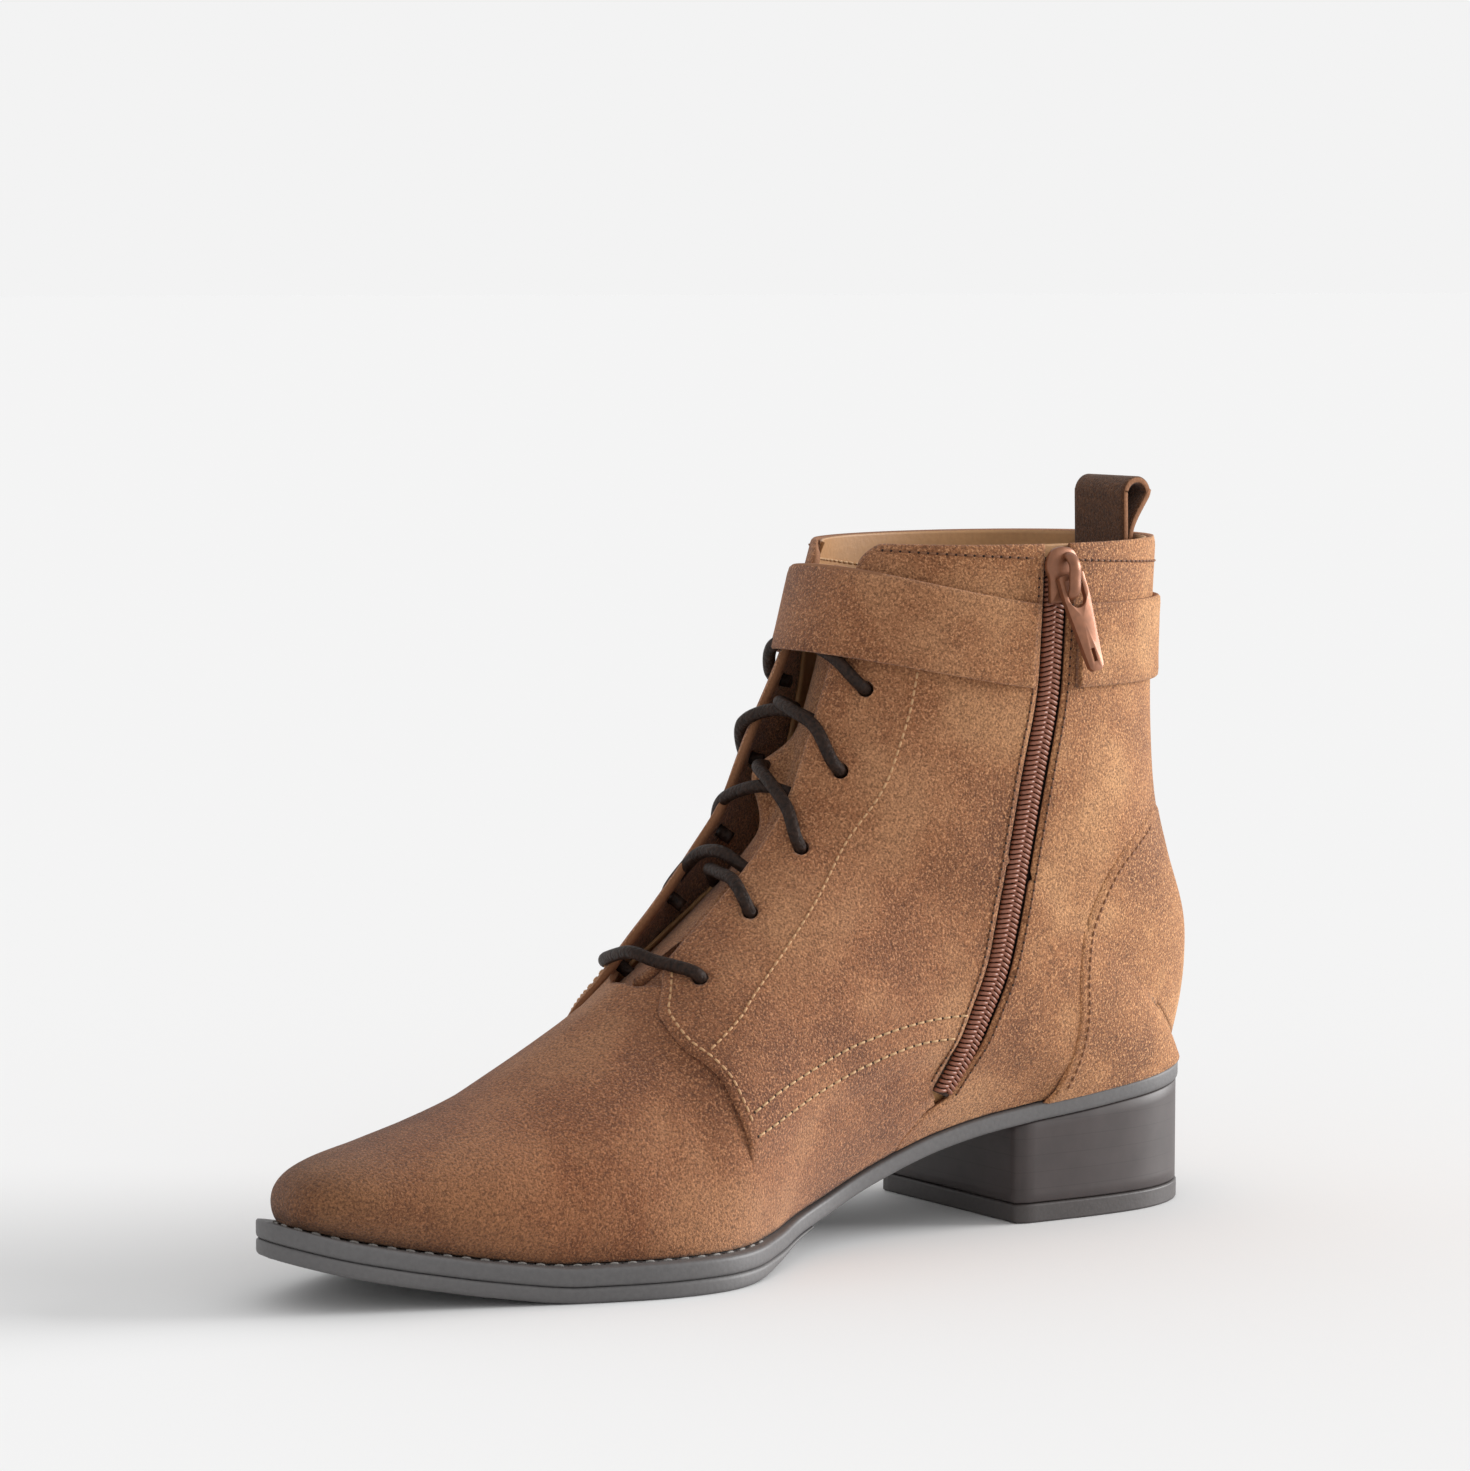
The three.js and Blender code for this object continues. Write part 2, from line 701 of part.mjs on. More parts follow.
// The tongue: a sheet behind the facings, sewn in under the vamp and ending just below the collar
const tongueBottom = 7.75;
const tongueTop = 18.6;
const tongueHalf = 22;
const tongueDepth = 3.4;
const tongueSag = 3.6;
function tongueSolid() {
  const rows = [];
  const steps = 16;
  const acrossSteps = 8;
  for (let i = 0; i <= steps; i += 1) {
    const place = tongueBottom + ((tongueTop - tongueBottom) * i) / steps;
    const seated = Math.min(1, i / 3);
    const depth = THREE.MathUtils.lerp(upperWall + fit, tongueDepth, seated);
    const skin = [[], []];
    for (let j = 0; j <= acrossSteps; j += 1) {
      const share = (2 * j) / acrossSteps - 1;
      const side = share < 0 ? -1 : 1;
      const round = 0.30 * Math.abs(share) * (tongueHalf / 22);
      const sag = seated * tongueSag * (1 - share * share);
      const left = lastPoint(place, 1, round);
      const point = side > 0 ? left : lastPoint(place, -1, round);
      const normal = lastNormal(place, side, Math.max(round, 0.02));
      skin[0].push(point.clone().addScaledVector(normal, -depth - sag));
      skin[1].push(point.clone().addScaledVector(normal, -depth - sag - tongueThickness));
    }
    rows.push([...skin[0], ...skin[1].reverse()]);
  }
  return loft(rows);
}

// The lace: a bar at the lowest holes, then a crossing between each two rows
function cordAlong(points) {
  const curve = new THREE.CatmullRomCurve3(points, false, 'centripetal');
  const sides = 8;
  const section = new THREE.Shape();
  for (let i = 0; i < sides; i += 1) {
    const angle = (2 * Math.PI * i) / sides;
    const [x, y] = [Math.cos(angle), Math.sin(angle)].map((v) => (v * laceDiameter) / 2);
    if (i === 0) section.moveTo(x, y);
    else section.lineTo(x, y);
  }
  const steps = Math.ceil(curve.getLength() / (2.5 * laceDiameter)) + 1;
  return toSolid(new THREE.ExtrudeGeometry(section, { steps, extrudePath: curve, bevelEnabled: false }));
}

const onFacing = quarterThickness + fit + laceDiameter / 2 + 0.3;
const underFacing = -(upperWall + fit + laceDiameter / 2 + 0.3);

function laceBar() {
  const reach = laceRows[0].across * ballWidth;
  return cordAlong([-1, -0.6, 0, 0.6, 1].map((share) => {
    return throatPoint(0.0, share * reach, onFacing + (1 - share * share) * 0.8);
  }));
}

function laceCross(row) {
  const start = laceRows[row].across * ballWidth - 1;
  const edge = throatWidth / 2;
  const run = (side) => cordAlong([
    throatPoint(row, side * start, onFacing),
    throatPoint(row + 0.22, side * (start + edge) * 0.5, onFacing),
    throatPoint(row + 0.40, side * edge * 0.75, onFacing - 0.4),
    throatPoint(row + 0.56, 0, -0.6),
    throatPoint(row + 0.72, -side * edge * 0.55, underFacing + 0.3),
  ]);
  return run(1).add(run(-1));
}

// The ankle strap: a band round the shaft, open at the zip, standing off in front
const strapHigh = 0.858;
const strapRise = 10;
const strapRiseFrom = 0.235;
const strapRiseSpan = 0.205;

function strapMiddle(at) {
  const share = Math.max(0, (at - strapRiseFrom) / strapRiseSpan);
  const level = seatHeight + strapHigh * upperHeight - 5.9;
  return level + strapRise * Math.pow(share, 1.3);
}

function shaftPoint(side, round, z) {
  let [a, b] = [8, lastSection];
  for (let i = 0; i < 30; i += 1) {
    const middle = (a + b) / 2;
    if (lastPoint(middle, side, round).z < z) a = middle;
    else b = middle;
  }
  const place = (a + b) / 2;
  return { point: lastPoint(place, side, round), normal: lastNormal(place, side, round) };
}

const strapFrontEnd = 0.425;
const strapBackEnd = 0.545;
function strapSolid() {
  const stations = [];
  const steps = 14;
  for (let i = 0; i <= steps; i += 1) stations.push([1, strapFrontEnd * (1 - i / steps)]);
  for (let i = 1; i <= 2 * steps; i += 1) stations.push([-1, i / (2 * steps)]);
  for (let i = 1; i <= steps; i += 1) stations.push([1, 1 - ((1 - strapBackEnd) * i) / steps]);
  const rows = stations.map(([side, round]) => {
    const guess = shaftPoint(side, round, seatHeight + strapHigh * upperHeight).point;
    const middle = strapMiddle(-guess.y / soleLength);
    const lift = Math.max(0, 1 - round / 0.36);
    const out = quarterThickness + fit + strapStandOff * lift * lift * (3 - 2 * lift);
    const level = shaftPoint(side, round, middle);
    const way = level.normal.clone().setZ(0).normalize();
    if (round === 0) way.set(0, -1, 0);
    const corner = (outward, rise) => {
      const spot = shaftPoint(side, round, middle + rise);
      return spot.point.addScaledVector(way, outward);
    };
    const half = strapWidth / 2;
    return [corner(out, half), corner(out + strapThickness, half),
      corner(out + strapThickness, -half), corner(out, -half)];
  });
  return loft(rows);
}

// The pull loop: a folded strip sewn in behind the collar's back
function loopSolid() {
  const back = endPoint(heelBack + backSeam.length - 1, 1);
  let round = 1;
  while (lastPoint(lastSection, 1, round).x < loopWidth / 2) round -= 0.005;
  const inner = lastPoint(lastSection, 1, round).y - upperWall * 1.15 - fit;
  const rim = back.z;
  const t = loopThickness;
  const lean = 2.5;
  const outlineOf = (inset) => {
    const half = loopDepth / 2 - inset;
    const neck = t - inset;
    const middle = inner - t;
    const base = inset > 0 ? rim + 1.5 : rim - 8;
    const shoulder = rim + loopHeight - loopDepth / 2;
    const points = [new THREE.Vector2(middle - neck, base)];
    if (inset === 0) points.push(new THREE.Vector2(middle - neck, rim + 1));
    for (let i = 0; i <= 10; i += 1) {
      const angle = Math.PI * (1 - i / 10);
      points.push(new THREE.Vector2(middle + lean + half * Math.cos(angle),
        shoulder + half * Math.sin(angle)));
    }
    if (inset === 0) points.push(new THREE.Vector2(middle + neck, rim + 1));
    points.push(new THREE.Vector2(middle + neck, base));
    return points;
  };
  const shape = new THREE.Shape(outlineOf(0));
  shape.holes.push(new THREE.Path(outlineOf(t).reverse()));
  const geometry = new THREE.ExtrudeGeometry(shape, { depth: loopWidth, bevelEnabled: false });
  geometry.applyMatrix4(sideAxes);
  geometry.translate(back.x - loopWidth / 2, 0, 0);
  return toSolid(geometry);
}

// The slider and its pull share one frame: across the zip, along it and out of the boot.
const sliderSpot = findSurface(sideView(0.2225, 0.985), 1);
const sliderAcross = new THREE.Vector3().crossVectors(new THREE.Vector3(0, 0, 1), sliderSpot.normal).normalize();
const sliderAlong = new THREE.Vector3().crossVectors(sliderSpot.normal, sliderAcross).normalize();
const sliderFrame = new THREE.Matrix4().makeBasis(sliderAcross, sliderAlong, sliderSpot.normal)
  .setPosition(sliderSpot.point);
const plateLow = chainRise + fit;
const plateHigh = plateLow + sliderPlate;
const bailGap = fit + pinDiameter + fit;
const bailBar = 1.4;
const bailWidth = 2;

function sliderSolid() {
  const half = sliderLength / 2;
  const body = new THREE.Shape();
  body.moveTo(-sliderWidth * 0.36, -half);
  body.lineTo(sliderWidth * 0.36, -half);
  body.lineTo(sliderWidth * 0.38, -half * 0.1);
  body.quadraticCurveTo(sliderWidth * 0.5, half * 0.25, sliderWidth * 0.42, half * 0.6);
  body.quadraticCurveTo(sliderWidth * 0.25, half, 0, half);
  body.quadraticCurveTo(-sliderWidth * 0.25, half, -sliderWidth * 0.42, half * 0.6);
  body.quadraticCurveTo(-sliderWidth * 0.5, half * 0.25, -sliderWidth * 0.38, -half * 0.1);
  const plate = new THREE.ExtrudeGeometry(body, { depth: sliderPlate, bevelEnabled: false, curveSegments: 5 });
  plate.translate(0, 0, plateLow);
  const arch = new THREE.Shape();
  const top = bailGap + bailBar;
  const [from, to] = [-half * 0.85, half * 0.8];
  arch.moveTo(from, -0.5);
  arch.lineTo(from + 0.4, top * 0.6);
  arch.quadraticCurveTo(from + 0.6, top, from + 2, top);
  arch.lineTo(to - 2, top);
  arch.quadraticCurveTo(to - 0.6, top, to - 0.4, top * 0.6);
  arch.lineTo(to, -0.5);
  arch.lineTo(to - 1.7, -0.5);
  arch.lineTo(to - 1.9, bailGap);
  arch.lineTo(from + 1.9, bailGap);
  arch.lineTo(from + 1.7, -0.5);
  const bail = new THREE.ExtrudeGeometry(arch, { depth: bailWidth, bevelEnabled: false, curveSegments: 4 });
  bail.applyMatrix4(sideAxes);
  bail.translate(-bailWidth / 2, 0, plateHigh);
  return toSolid(plate).add(toSolid(bail)).transform(sliderFrame.elements);
}

// The pull hangs from a pin under the bail, leaning back and a little away from the boot.
const pullLean = 12;
const pullTilt = 12;
const pullFrame = sliderFrame.clone()
  .multiply(new THREE.Matrix4().makeTranslation(0, 0, plateHigh + fit + pinDiameter / 2))
  .multiply(new THREE.Matrix4().makeRotationZ(THREE.MathUtils.degToRad(pullLean)))
  .multiply(new THREE.Matrix4().makeRotationX(THREE.MathUtils.degToRad(-pullTilt)));
const pullWidth = 7.4;
const pullTip = 4;
const eyeWidth = bailWidth + 3;
const eyeLength = 7.6;

function pullSolid() {
  const shape = new THREE.Shape();
  const [w, t] = [pullWidth / 2, pullTip / 2];
  const top = pinDiameter / 2;
  shape.moveTo(-w, top);
  shape.lineTo(-w, -eyeLength * 0.7);
  shape.lineTo(-t, -pullLength + 1);
  shape.lineTo(-t + 0.8, -pullLength);
  shape.lineTo(t - 0.8, -pullLength);
  shape.lineTo(t, -pullLength + 1);
  shape.lineTo(w, -eyeLength * 0.7);
  shape.lineTo(w, top);
  const eye = new THREE.Path();
  const e = eyeWidth / 2;
  eye.moveTo(-e, top - pinDiameter);
  eye.lineTo(e, top - pinDiameter);
  eye.lineTo(e, -eyeLength + e);
  eye.absarc(0, -eyeLength + e, e, 0, -Math.PI, true);
  shape.holes.push(eye);
  const slot = new THREE.Path();
  slot.moveTo(-0.5, -pullLength + 2.2);
  slot.lineTo(0.7, -pullLength + 2.2);
  slot.lineTo(0.7, -pullLength + 5.4);
  slot.lineTo(-0.5, -pullLength + 5.4);
  shape.holes.push(slot);
  const geometry = new THREE.ExtrudeGeometry(shape,
    { depth: pullThickness, bevelEnabled: false, curveSegments: 6 });
  geometry.translate(0, 0, -pullThickness / 2);
  return toSolid(geometry).transform(pullFrame.elements);
}

// The assembly
const boot = new THREE.Group();

// Facets flatter than this are joined.
const flatness = 0.04;

function addPiece(name, solid, finish) {
  const mesh = new THREE.Mesh(toGeometry(solid.simplify(flatness)), new THREE.MeshStandardMaterial(finish));
  mesh.name = name;
  boot.add(mesh);
}

addPiece('outsole', outsoleSolid(), soleRubber);
addPiece('midsole', midsoleSolid(), soleRubber);
addPiece('heel_block', heelSolid(), heelStack);
addPiece('top_lift', liftSolid(), soleRubber);
addPiece('insole', insoleSolid(), lining);
addPiece('upper', upperSolid(), suede);
addPiece('heel_counter', counterSolid(), suede);
addPiece('tongue', tongueSolid(), suede);
addPiece('lace_bar', laceBar(), waxedCord);
for (let row = 1; row + 1 < laceRows.length; row += 1) {
  addPiece(`lace_crossing_${row}`, laceCross(row), waxedCord);
}
addPiece('ankle_strap', strapSolid(), suede);
addPiece('pull_loop', loopSolid(), darkSuede);
addPiece('zip_chain', zipSolid(), zipNylon);
addPiece('zip_slider', sliderSolid(), lacquer);
addPiece('zip_pull', pullSolid(), lacquer);

// The origin goes under the middle of the boot's box.
const box = new THREE.Box3().setFromObject(boot);
const middle = box.getCenter(new THREE.Vector3());
boot.position.set(-middle.x, -middle.y, -box.min.z);

export default boot;
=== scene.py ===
# A right ankle boot in brown suede, dressed over its frame: panels, lining, lace, strap, zip, sole and heel.
# The boot's own sizes are in millimetres, and the frame's are in metres.
import math

import bmesh
import bpy
import numpy as np
from mathutils import Matrix, Vector


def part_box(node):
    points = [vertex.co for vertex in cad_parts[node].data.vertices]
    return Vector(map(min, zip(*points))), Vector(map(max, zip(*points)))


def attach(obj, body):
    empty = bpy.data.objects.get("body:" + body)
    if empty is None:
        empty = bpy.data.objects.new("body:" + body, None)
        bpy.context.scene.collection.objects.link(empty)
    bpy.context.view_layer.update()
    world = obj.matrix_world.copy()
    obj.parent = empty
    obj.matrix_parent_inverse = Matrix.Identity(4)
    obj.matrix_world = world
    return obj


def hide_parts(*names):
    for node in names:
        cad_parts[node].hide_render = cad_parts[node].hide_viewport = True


bl_info = {
    "name": "Suede Ankle Boot",
    "version": (1, 0, 0),
    "blender": (4, 5, 0),
    "location": "View3D > Sidebar > Boot",
    "description": "Dresses the frame of a lace-up ankle boot with suede, rubber, cord and a zip",
    "category": "Object",
}

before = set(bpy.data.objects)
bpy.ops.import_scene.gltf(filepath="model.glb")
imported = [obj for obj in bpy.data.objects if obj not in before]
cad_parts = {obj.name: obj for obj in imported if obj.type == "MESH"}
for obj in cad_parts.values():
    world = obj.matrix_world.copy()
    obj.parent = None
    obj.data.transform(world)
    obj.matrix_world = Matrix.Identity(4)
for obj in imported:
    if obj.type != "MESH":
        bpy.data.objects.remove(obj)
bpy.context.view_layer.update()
MM = 0.001
WELD = 2e-6

# Driving sizes of the boot, in millimetres
SOLE_LENGTH = 258.0
BALL_WIDTH = 88.0
SEAT_HEIGHT = 35.0
TOE_SPRING = 12.0
UPPER_HEIGHT = 129.5
MIDSOLE = 4.3
OUTSOLE = 3.7
WELT = 4.8
FIT = 0.3


def table(names, rows):
    """Rows of numbers as named columns."""
    return dict(zip(names.split(), np.array(rows, float).T))


# The sole's outline from the toe to the heel, and both edges beside the middle line
OUTLINE = table("at medial lateral", [
    (1.000, 0.045, 0.045),
    (0.994, 0.112, -0.040),
    (0.974, 0.168, -0.116),
    (0.937, 0.222, -0.192),
    (0.880, 0.290, -0.275),
    (0.815, 0.372, -0.350),
    (0.750, 0.455, -0.425),
    (0.690, 0.515, -0.468),
    (0.635, 0.530, -0.475),
    (0.590, 0.492, -0.465),
    (0.545, 0.410, -0.445),
    (0.495, 0.315, -0.415),
    (0.430, 0.265, -0.380),
    (0.340, 0.262, -0.355),
    (0.240, 0.285, -0.350),
    (0.150, 0.312, -0.330),
    (0.085, 0.305, -0.300),
    (0.038, 0.245, -0.235),
    (0.010, 0.140, -0.130),
    (0.000, 0.000, 0.000),
])
HEEL_BACK = len(OUTLINE["at"]) - 1

# The sole along its length: toe spring, rise to the seat, tread's thickness, and the welt that shows
SOLE_PROFILE = table("at spring rise layer show", [
    (1.00, 1.00, 0.00, 1.00, 1.00),
    (0.95, 0.68, 0.00, 1.00, 1.00),
    (0.90, 0.43, 0.00, 1.00, 1.00),
    (0.84, 0.19, 0.00, 1.00, 1.00),
    (0.77, 0.00, 0.00, 1.00, 1.00),
    (0.70, 0.00, 0.00, 1.00, 1.00),
    (0.63, 0.00, 0.00, 1.00, 0.90),
    (0.58, 0.00, 0.02, 0.88, 0.75),
    (0.52, 0.00, 0.13, 0.36, 0.50),
    (0.46, 0.00, 0.29, 0.00, 0.32),
    (0.40, 0.00, 0.47, 0.00, 0.28),
    (0.34, 0.00, 0.63, 0.00, 0.25),
    (0.28, 0.00, 0.74, 0.00, 0.22),
    (0.22, 0.00, 0.81, 0.00, 0.22),
    (0.12, 0.00, 0.90, 0.00, 0.22),
    (0.00, 0.00, 1.00, 0.00, 0.22),
])

# The back seam: how far it lies behind the sole's edge at heights over the seat
BACK_SEAM = table("up behind", [
    (0.000, -0.003),
    (0.085, 0.008),
    (0.165, 0.012),
    (0.245, 0.008),
    (0.360, -0.014),
    (0.480, -0.032),
    (0.640, -0.040),
    (0.820, -0.041),
    (1.000, -0.038),
])

# Sections of the last, from the toe to the collar: front point, end, half width, and how full they are
SECTIONS = table("front_at front_up front_x edge wide full", [
    (0.9810, 0.0000, 0.045, 0.0, 0.000, 0.85),
    (0.9850, 0.0350, 0.045, 1.0, 0.060, 0.85),
    (0.9730, 0.0850, 0.045, 1.9, 0.122, 0.90),
    (0.9420, 0.1300, 0.045, 2.9, 0.187, 0.98),
    (0.8850, 0.1800, 0.045, 4.0, 0.260, 1.06),
    (0.8050, 0.2480, 0.045, 5.1, 0.345, 1.16),
    (0.7250, 0.3250, 0.040, 6.2, 0.415, 1.26),
    (0.6600, 0.4000, 0.035, 7.4, 0.450, 1.34),
    (0.6190, 0.4560, 0.030, 9.0, 0.455, 1.36),
    (0.5870, 0.5140, 0.027, 10.6, 0.432, 1.32),
    (0.5560, 0.5640, 0.024, 11.7, 0.405, 1.27),
    (0.5260, 0.6140, 0.021, 12.7, 0.384, 1.21),
    (0.5010, 0.6600, 0.018, 13.7, 0.373, 1.15),
    (0.4810, 0.7060, 0.015, 15.2, 0.368, 1.10),
    (0.4610, 0.7680, 0.012, 17.2, 0.364, 1.06),
    (0.4440, 0.8350, 0.009, 19.0, 0.363, 1.03),
    (0.4280, 0.9000, 0.006, 20.9, 0.364, 1.00),
    (0.4110, 0.9700, 0.003, 22.9, 0.367, 0.97),
    (0.3950, 1.0400, 0.000, 25.0, 0.371, 0.94),
    (0.3780, 1.1100, 0.000, 27.0, 0.377, 0.92),
])
COLLAR = len(SECTIONS["edge"]) - 1


def spline(a, b, c, d, f):
    """A smooth value between b and c, whose neighbours are a and d."""
    square = 2 * a - 5 * b + 4 * c - d
    cube = 3 * b - a - 3 * c + d
    return 0.5 * (2 * b + (c - a) * f + square * f * f + cube * f * f * f)


def column(rows, name, place):
    """A column read between its rows, as a smooth curve through them."""
    values = rows[name]
    last = len(values) - 1
    i = np.clip(np.floor(place), 0, last - 1).astype(int)
    b, c = values[i], values[i + 1]
    a = np.where(i > 0, values[i - 1], 2 * b - c)
    d = np.where(i + 2 <= last, values[np.minimum(i + 2, last)], 2 * c - b)
    return spline(a, b, c, d, place - i)


def sole_heights(at):
    """Heights of the sole's underside, its seam and its top, and the welt's ledge, in mm."""
    stations = SOLE_PROFILE["at"]
    place = np.interp(np.clip(at, 0, 1), stations[::-1], np.arange(len(stations))[::-1])
    spring, rise, layer, show = (
        np.maximum(0, column(SOLE_PROFILE, name, place)) for name in ("spring", "rise", "layer", "show"))
    ground = spring * TOE_SPRING + rise * (SEAT_HEIGHT - MIDSOLE)
    seam = ground + layer * OUTSOLE
    return ground, seam, seam + MIDSOLE, show * WELT


RING = np.vstack([
    np.column_stack([OUTLINE["medial"] * BALL_WIDTH, -OUTLINE["at"] * SOLE_LENGTH]),
    np.column_stack([OUTLINE["lateral"] * BALL_WIDTH, -OUTLINE["at"] * SOLE_LENGTH])[HEEL_BACK - 1:0:-1],
])


def ring_point(place):
    """A point of the sole's outline, going round it from the toe's tip by the inner side."""
    i = np.floor(place).astype(int)
    a, b, c, d = (RING[(i + k) % len(RING)] for k in (-1, 0, 1, 2))
    return spline(a, b, c, d, (place - i)[:, None])


def edge_point(place, side, inset):
    """A point of the outline on one side, moved in at right angles to the edge."""
    near = 0.05
    along = ring_point(side * place + near) - ring_point(side * place - near)
    along /= np.linalg.norm(along, axis=1)[:, None]
    inward = np.column_stack([-along[:, 1], along[:, 0]])
    return ring_point(side * place) + inward * np.asarray(inset)[..., None]


def feather(place, side):
    """Where the upper meets the sole."""
    rim = edge_point(place, side, np.zeros_like(place))
    show = sole_heights(-rim[:, 1] / SOLE_LENGTH)[3]
    point = edge_point(place, side, show)
    top = sole_heights(-point[:, 1] / SOLE_LENGTH)[2]
    return np.column_stack([point, top + FIT])


def end_point(edge, side):
    """The end of a section: at the sole's edge, or up the back seam."""
    low = feather(np.minimum(edge, HEEL_BACK), side)
    place = np.clip(edge - HEEL_BACK, 0, len(BACK_SEAM["up"]) - 1)
    seat = feather(np.full_like(place, HEEL_BACK), side)
    seat[:, 1] += (column(BACK_SEAM, "behind", place) - BACK_SEAM["behind"][0]) * SOLE_LENGTH
    seat[:, 2] += column(BACK_SEAM, "up", place) * UPPER_HEIGHT
    return np.where((edge <= HEEL_BACK)[:, None], low, seat)


def front_point(place):
    """The front end of a section, on the vamp or the shin line."""
    at = column(SECTIONS, "front_at", place)
    up = np.maximum(0, column(SECTIONS, "front_up", place)) * UPPER_HEIGHT
    x = column(SECTIONS, "front_x", place) * BALL_WIDTH
    return np.column_stack([x, -at * SOLE_LENGTH, sole_heights(at)[2] + FIT + up])


def last_point(place, side, turn):
    """A point of the last: a place along the sections, a side, and a share round the half section."""
    edge = column(SECTIONS, "edge", place)
    front = front_point(place)
    ends = [end_point(edge, side * 0 + s) for s in (1, -1)]
    reach = np.abs(ends[0][:, 0] - ends[1][:, 0]) / 2
    wide = np.maximum(np.maximum(column(SECTIONS, "wide", place) * BALL_WIDTH, reach * 1.005), 0.01)
    full = column(SECTIONS, "full", place)
    end_angle = np.pi - np.arcsin(np.minimum(1, (reach / wide) ** (1 / full)))
    angle = end_angle * turn
    share = (1 - np.cos(angle)) / (1 - np.cos(end_angle))
    middle = (ends[0] + ends[1]) / 2
    point = front + (middle - front) * share[:, None]
    point[:, 0] += side * wide * np.maximum(0, np.sin(angle)) ** full
    return point


def last_normal(place, side, turn):
    """The last's outward direction."""
    near = 0.004
    p = np.clip(place, 0.15, COLLAR - near)
    r = np.clip(turn, 0.01, 0.99)
    along = last_point(p + near, side, r) - last_point(p - near, side, r)
    around = last_point(p, side, r + near) - last_point(p, side, r - near)
    normal = np.cross(around, along) * side[:, None]
    return normal / np.linalg.norm(normal, axis=1)[:, None]


def find_surface(at, up, side):
    """The place and the share round the section under points of the side view."""
    at, up = np.asarray(at, float), np.asarray(up, float)
    y = -at * SOLE_LENGTH
    z = sole_heights(at)[2] + FIT + up * UPPER_HEIGHT
    places, turns = (g.ravel() for g in np.meshgrid(np.arange(1, COLLAR), np.arange(0.05, 1, 0.1)))
    places = places.astype(float)
    sides = np.full_like(places, side)
    tries = last_point(places, sides, turns)
    miss = np.hypot(tries[:, 1][None] - y[:, None], tries[:, 2][None] - z[:, None])
    best = miss.argmin(axis=1)
    place, turn = places[best].copy(), turns[best].copy()
    side = np.full_like(place, side)
    near = 0.001
    for _ in range(25):
        p = last_point(place, side, turn)
        a = (last_point(place + near, side, turn) - p) / near
        b = (last_point(place, side, turn + near) - p) / near
        dy, dz = y - p[:, 1], z - p[:, 2]
        det = a[:, 1] * b[:, 2] - a[:, 2] * b[:, 1]
        det = np.where(np.abs(det) < 1e-9, 1e-9, det)
        place = np.clip(place + np.clip((dy * b[:, 2] - dz * b[:, 1]) / det, -0.5, 0.5), 0.2, COLLAR)
        turn = np.clip(turn + np.clip((a[:, 1] * dz - a[:, 2] * dy) / det, -0.1, 0.1), 0.01, 0.99)
    return place, turn


# Places on the upper. A place counts the sections from the toe to the collar, and a turn goes from 0 at
# the front line to 1 at the sole or the back seam, with a minus on the outer side.
def skin_normal(place, turn):
    """The outward direction of the upper, shared by both sides along the front line and the back seam."""
    side = np.where(turn < 0, -1.0, 1.0)
    round_ = np.minimum(np.abs(turn), 1)
    own = last_normal(place, side, round_)
    twin = last_normal(place, -side, round_)
    on_back = (round_ > 0.985) & (column(SECTIONS, "edge", place) > HEEL_BACK)
    shared = on_back | (round_ < 0.012)
    normal = np.where(shared[:, None], own + twin, own)
    return normal / np.linalg.norm(normal, axis=1)[:, None]


def skin_point(place, turn):
    """The point of the last under a place and a turn."""
    return last_point(place, np.where(turn < 0, -1.0, 1.0), np.minimum(np.abs(turn), 1))


def side_view(point):
    """A point's share of the length, and its height over the sole as a share of the upper's height."""
    at = -point[:, 1] / SOLE_LENGTH
    return at, (point[:, 2] - sole_heights(at)[2] - FIT) / UPPER_HEIGHT


def smooth_step(value):
    """A soft rise from 0 to 1."""
    value = np.clip(value, 0, 1)
    return value * value * (3 - 2 * value)


def resample(line, shares):
    """A line of places and turns, read at shares of its real length."""
    points = skin_point(line[:, 0], line[:, 1])
    steps = np.linalg.norm(np.diff(points, axis=0), axis=1)
    length = np.concatenate([[0], np.cumsum(steps)])
    length /= length[-1]
    return np.column_stack([np.interp(shares, length, line[:, k]) for k in (0, 1)])


def side_line(rows, side, aside=0.0, count=60):
    """A smooth line of the side view, moved aside towards the heel in mm, as places and turns."""
    t = np.linspace(0, len(rows["at"]) - 1, count)
    at, up = column(rows, "at", t), column(rows, "up", t)
    flat = np.column_stack([-at * SOLE_LENGTH, sole_heights(at)[2] + FIT + up * UPPER_HEIGHT])
    along = np.gradient(flat, axis=0)
    along /= np.linalg.norm(along, axis=1)[:, None]
    flat += np.column_stack([along[:, 1], -along[:, 0]]) * aside
    at, up = side_view(np.column_stack([flat[:, 0] * 0, flat]))
    place, turn = find_surface(at, up, side)
    return np.column_stack([place, side * turn])


def throat_line(side, places, half):
    """The places and turns that stand half mm beside the boot's middle."""
    low, high = np.full_like(places, 0.001), np.full_like(places, 0.5)
    sides = np.full_like(places, side)
    for _ in range(30):
        middle = (low + high) / 2
        inside = side * last_point(places, sides, middle)[:, 0] < half
        low, high = np.where(inside, middle, low), np.where(inside, high, middle)
    return np.column_stack([places, side * (low + high) / 2])


